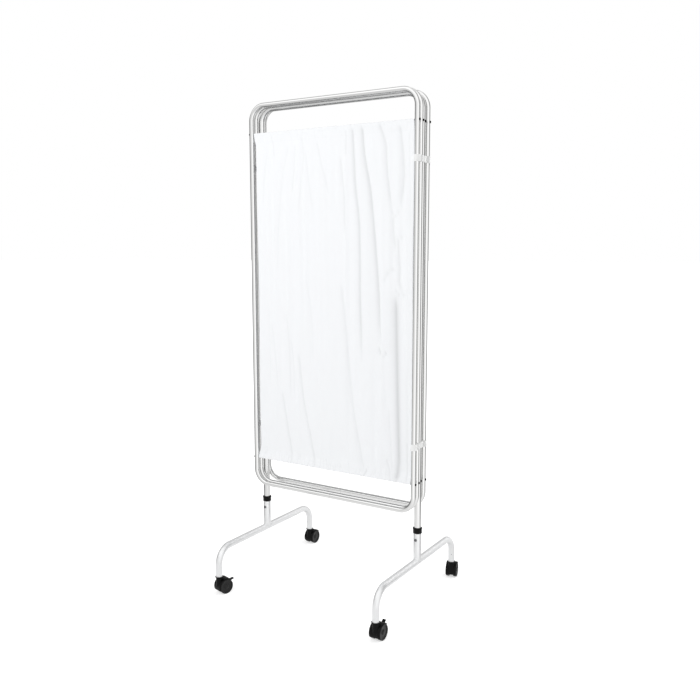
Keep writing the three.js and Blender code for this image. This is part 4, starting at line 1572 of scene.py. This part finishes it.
@dataclass
class Studio:
    """A white studio: floor, world, lamps, the room that the tubes mirror, and the camera.

    The room's wall has a row of stops for its lower part and one for its upper part. Each stop is a place
    round the room, from 0 to 1 with 0.5 at the camera's side, and the shade that the wall has there.
    """

    world_light: float = 0.5
    key: float = 82.0
    back: float = 60.0
    side: float = 36.0
    lens: float = 40.37
    floor_reach: float = 50.0
    room_radius: float = 4.5
    room_height: float = 4.5
    level: Stops = ((0, .5), (.05, .3), (.1, .14), (.2, .12), (.24, .3), (.28, .7), (.39, .74), (.46, .9),
                    (.5, 1.05), (.57, 1.12), (.655, 1.05), (.695, .5), (.715, .12), (.77, .1), (.795, .8),
                    (.85, 1.0), (.9, .6), (.95, .4), (1, .5))
    raised: Stops = ((0, .55), (.1, .5), (.2, .6), (.245, 1.15), (.34, 1.2), (.42, 1.1), (.6, 1.1), (.66, .8),
                     (.7, .3), (.8, .28), (.83, 1.0), (.9, 1.0), (.95, .6), (1, .55))

    def build(self) -> None:
        """Build the studio."""
        bpy.context.scene.view_settings.view_transform = "Standard"
        self.build_camera()
        self.build_world()
        self.build_floor()
        self.build_room()
        self.lamp("key_lamp", (-0.7, -3.6, 2.7), (0, 0, 0.9), 2.0, self.key)
        self.lamp("back_lamp", (1.8, 3.3, 2.4), (0, 0, 0.9), 2.0, self.back)
        self.lamp("side_lamp", (3.2, 1.3, 1.5), (0, 0, 1.0), 1.6, self.side)

    def stand(self, name: str, data: bpy.types.ID) -> Thing:
        """Stand something in the studio.

        Args:
            name: its name.
            data: its camera, lamp or mesh.

        Returns:
            The new object.
        """
        made = bpy.data.objects.new(name, data)
        bpy.context.scene.collection.objects.link(made)
        return made

    def build_camera(self) -> None:
        """Stand the camera where the photograph was taken from."""
        camera = bpy.data.cameras.new("camera")
        camera.lens, camera.sensor_width, camera.clip_end = self.lens, 36, 60
        made = self.stand("camera", camera)
        made.location = CAMERA_PLACE
        made.rotation_euler = (math.radians(90 - CAMERA_DOWN), 0, math.radians(CAMERA_TURN))
        bpy.context.scene.camera = made

    def seen_ray(self, tree: Tree) -> Socket:
        """Give back 1 for camera, glossy and transmission rays, and 0 for the rest."""
        path = put(tree, "ShaderNodeLightPath").outputs
        first = maths(tree, "MAXIMUM", path["Is Camera Ray"], path["Is Glossy Ray"])
        return maths(tree, "MAXIMUM", first, path["Is Transmission Ray"])

    def build_world(self) -> None:
        """Light the object evenly, and show white to the camera and in reflections."""
        world = bpy.data.worlds.new("studio")
        world.use_nodes = True
        bpy.context.scene.world = world
        tree = world.node_tree
        strength = ramp(tree, self.seen_ray(tree), self.world_light, 1.0)
        feed(tree, tree.nodes["Background"], {"Strength": strength, "Color": (1, 1, 1, 1)})

    def bare_material(self, name: str) -> bpy.types.Material:
        """Make a material whose output waits for its shader.

        Args:
            name: its name.

        Returns:
            The material.
        """
        material = bpy.data.materials.new(name)
        material.use_nodes = True
        material.node_tree.nodes.remove(material.node_tree.nodes["Principled BSDF"])
        return material

    def build_floor(self) -> None:
        """Lay a pale floor, which keeps the object's shadow and is white to the camera far off."""
        mesh = bpy.data.meshes.new("floor")
        s = self.floor_reach
        mesh.from_pydata([(-s, -s, 0), (s, -s, 0), (s, s, 0), (-s, s, 0)], [], [(0, 1, 2, 3)])
        material = self.bare_material("pale_floor")
        mesh.materials.append(material)
        tree = material.node_tree
        matt = put(tree, "ShaderNodeBsdfDiffuse", {"Color": (0.8, 0.8, 0.8, 1)}).outputs["BSDF"]
        spot = put(tree, "ShaderNodeTexCoord").outputs["Object"]
        away = put(tree, "ShaderNodeVectorMath", {0: spot}, operation="LENGTH").outputs["Value"]
        lift = maths(tree, "MULTIPLY", self.seen_ray(tree), ramp(tree, away, 0.5, 1.0, 0.9, 3.0))
        white = put(tree, "ShaderNodeEmission", {"Color": (1, 1, 1, 1), "Strength": lift}).outputs["Emission"]
        both = put(tree, "ShaderNodeAddShader", {0: matt, 1: white}).outputs["Shader"]
        feed(tree, tree.nodes["Material Output"], {"Surface": both})
        self.stand("floor", mesh)

    def shades(self, tree: Tree, source: Socket, stops: Stops) -> Socket:
        """Look a value up in a row of stops, with smooth steps between them.

        Args:
            tree: the material's tree.
            source: the value.
            stops: the places from 0 to 1, each with its shade.

        Returns:
            The shade.
        """
        node = put(tree, "ShaderNodeValToRGB", {"Fac": source})
        node.color_ramp.interpolation = "EASE"
        row = node.color_ramp.elements
        while len(row) < len(stops):
            row.new(0.5)
        for element, (place, shade) in zip(row, stops):
            element.position, element.color = place, (shade, shade, shade, 1)
        return node.outputs["Color"]

    def build_room(self) -> None:
        """Stand a room of soft boxes, dim walls and a pale floor, which only reflections see."""
        shape = turned([(0, 0.001), (self.room_radius, 0.001), (self.room_radius, self.room_height),
                        (0, self.room_height)], 72)
        mesh = bpy.data.meshes.new("mirrored_room")
        mesh.from_pydata([tuple(p) for p in shape.points], [], shape.faces)
        material = self.bare_material("mirrored_room")
        material.cycles.emission_sampling = "NONE"
        mesh.materials.append(material)
        tree = material.node_tree
        spot = put(tree, "ShaderNodeTexCoord").outputs["Object"]
        camera_side = (0, 0, math.radians(90 - CAMERA_TURN))
        turn = put(tree, "ShaderNodeMapping", {"Vector": spot, "Rotation": camera_side})
        place = put(tree, "ShaderNodeSeparateXYZ", {"Vector": turn.outputs["Vector"]}).outputs
        angle = maths(tree, "ARCTAN2", place["Y"], place["X"])
        round_it = ramp(tree, angle, 0, 1, -math.pi, math.pi)
        wall = put(tree, "ShaderNodeMix", {"Factor": ramp(tree, place["Z"], 0, 1, 2.4, 3.2),
                                           "A": self.shades(tree, round_it, self.level),
                                           "B": self.shades(tree, round_it, self.raised)}, data_type="RGBA")
        away = put(tree, "ShaderNodeVectorMath", {0: spot}, operation="LENGTH").outputs["Value"]
        low = put(tree, "ShaderNodeMix", {"Factor": ramp(tree, away, 0, 1, 0.5, 1.3),
                                          "A": (0.84, 0.84, 0.84, 1), "B": wall.outputs["Result"]},
                  data_type="RGBA")
        light = put(tree, "ShaderNodeEmission", {"Color": low.outputs["Result"]}).outputs["Emission"]
        feed(tree, tree.nodes["Material Output"], {"Surface": light})
        room = self.stand("mirrored_room", mesh)
        room.visible_camera = room.visible_diffuse = room.visible_shadow = room.visible_transmission = False

    def lamp(self, name: str, place: Point, target: Point, size: float, power: float) -> None:
        """Hang a square soft lamp.

        Args:
            name: its name.
            place: where it hangs.
            target: what it shines at.
            size: the length of its sides.
            power: its strength in watts.
        """
        data = bpy.data.lights.new(name, "AREA")
        data.size, data.energy = size, power
        made = self.stand(name, data)
        made.location = place
        made.rotation_euler = (Vector(target) - Vector(place)).to_track_quat("-Z", "Y").to_euler()
        made.visible_glossy = False


def dress_carried() -> None:
    """Give the CAD nodes that stay in view their finish."""
    for name, node in frame["nodes"].items():
        if name.endswith(("_stem", "_axle")):
            node.data.materials.clear()
            node.data.materials.append(STEEL.material())


def main() -> None:
    logging.basicConfig(level=logging.INFO, format="%(message)s")
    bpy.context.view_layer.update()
    Studio().build()
    tubes, stitches, ribs = TubeTree(), BarTree(Lay.ALONG), BarTree(Lay.ACROSS)
    wing, base = (WING_STILE, WING_TUBE, WING_BOTTOM), (BASE_STILE, BASE_TUBE, POST_BOTTOM)
    layout = (("front", -2, wing, Hand.PLAIN, 3, 360, 98), ("middle", -1, wing, Hand.MIRRORED, 11, 170, 110),
              ("base", 0, base, Hand.PLAIN, 23, 170, 110), ("rear", 1, wing, Hand.MIRRORED, 37, 170, 110))
    for place, step, (stile, tube, foot), hand, seed, columns, rows in layout:
        body = "base" if place == "base" else place + "_wing"
        y = STACK_Y + step * PITCH
        wires = TubeFrame(place, body, y, stile, tube, foot, tubes).build()
        log.info("%s frame and wires", place)
        half = stile - tube / 2 - EDGE_GAP
        cloth = Curtain(place, body, y, half, hand, seed, stitches, columns, rows).build(wires)
        log.info("%s with %d faces", cloth.name, len(cloth.data.polygons))
    for place, side, first, second in (("front", 1, -1, -2), ("middle", -1, 0, -1), ("rear", 1, 0, 1)):
        stiles = [(side * (WING_STILE if step else BASE_STILE), STACK_Y + step * PITCH,
                   WING_TUBE if step else BASE_TUBE) for step in (first, second)]
        HingeClips(place, *stiles).build()
        log.info("%s hinge clips", place)
    Rivets(RivetTree()).build()
    log.info("stop rivets and socket pins")
    swivels, pedals = {"front_left": -15.0, "rear_right": 15.0}, {"front_left": 5.0, "front_right": 30.0}
    for side in Side:
        leg = Leg(side, tubes)
        leg.build()
        log.info("%s leg", leg.name)
        for end, step in (("front", -1), ("rear", 1)):
            place = f"{end}_{leg.name}"
            y = STACK_Y + step * FOOT_SPREAD / 2
            Castor(place, leg.x, y, ribs, swivels.get(place, 0.0), pedals.get(place)).build()
            log.info("%s castor", place)
    dress_carried()
    bpy.context.view_layer.update()


if __name__ == "__main__":
    main()
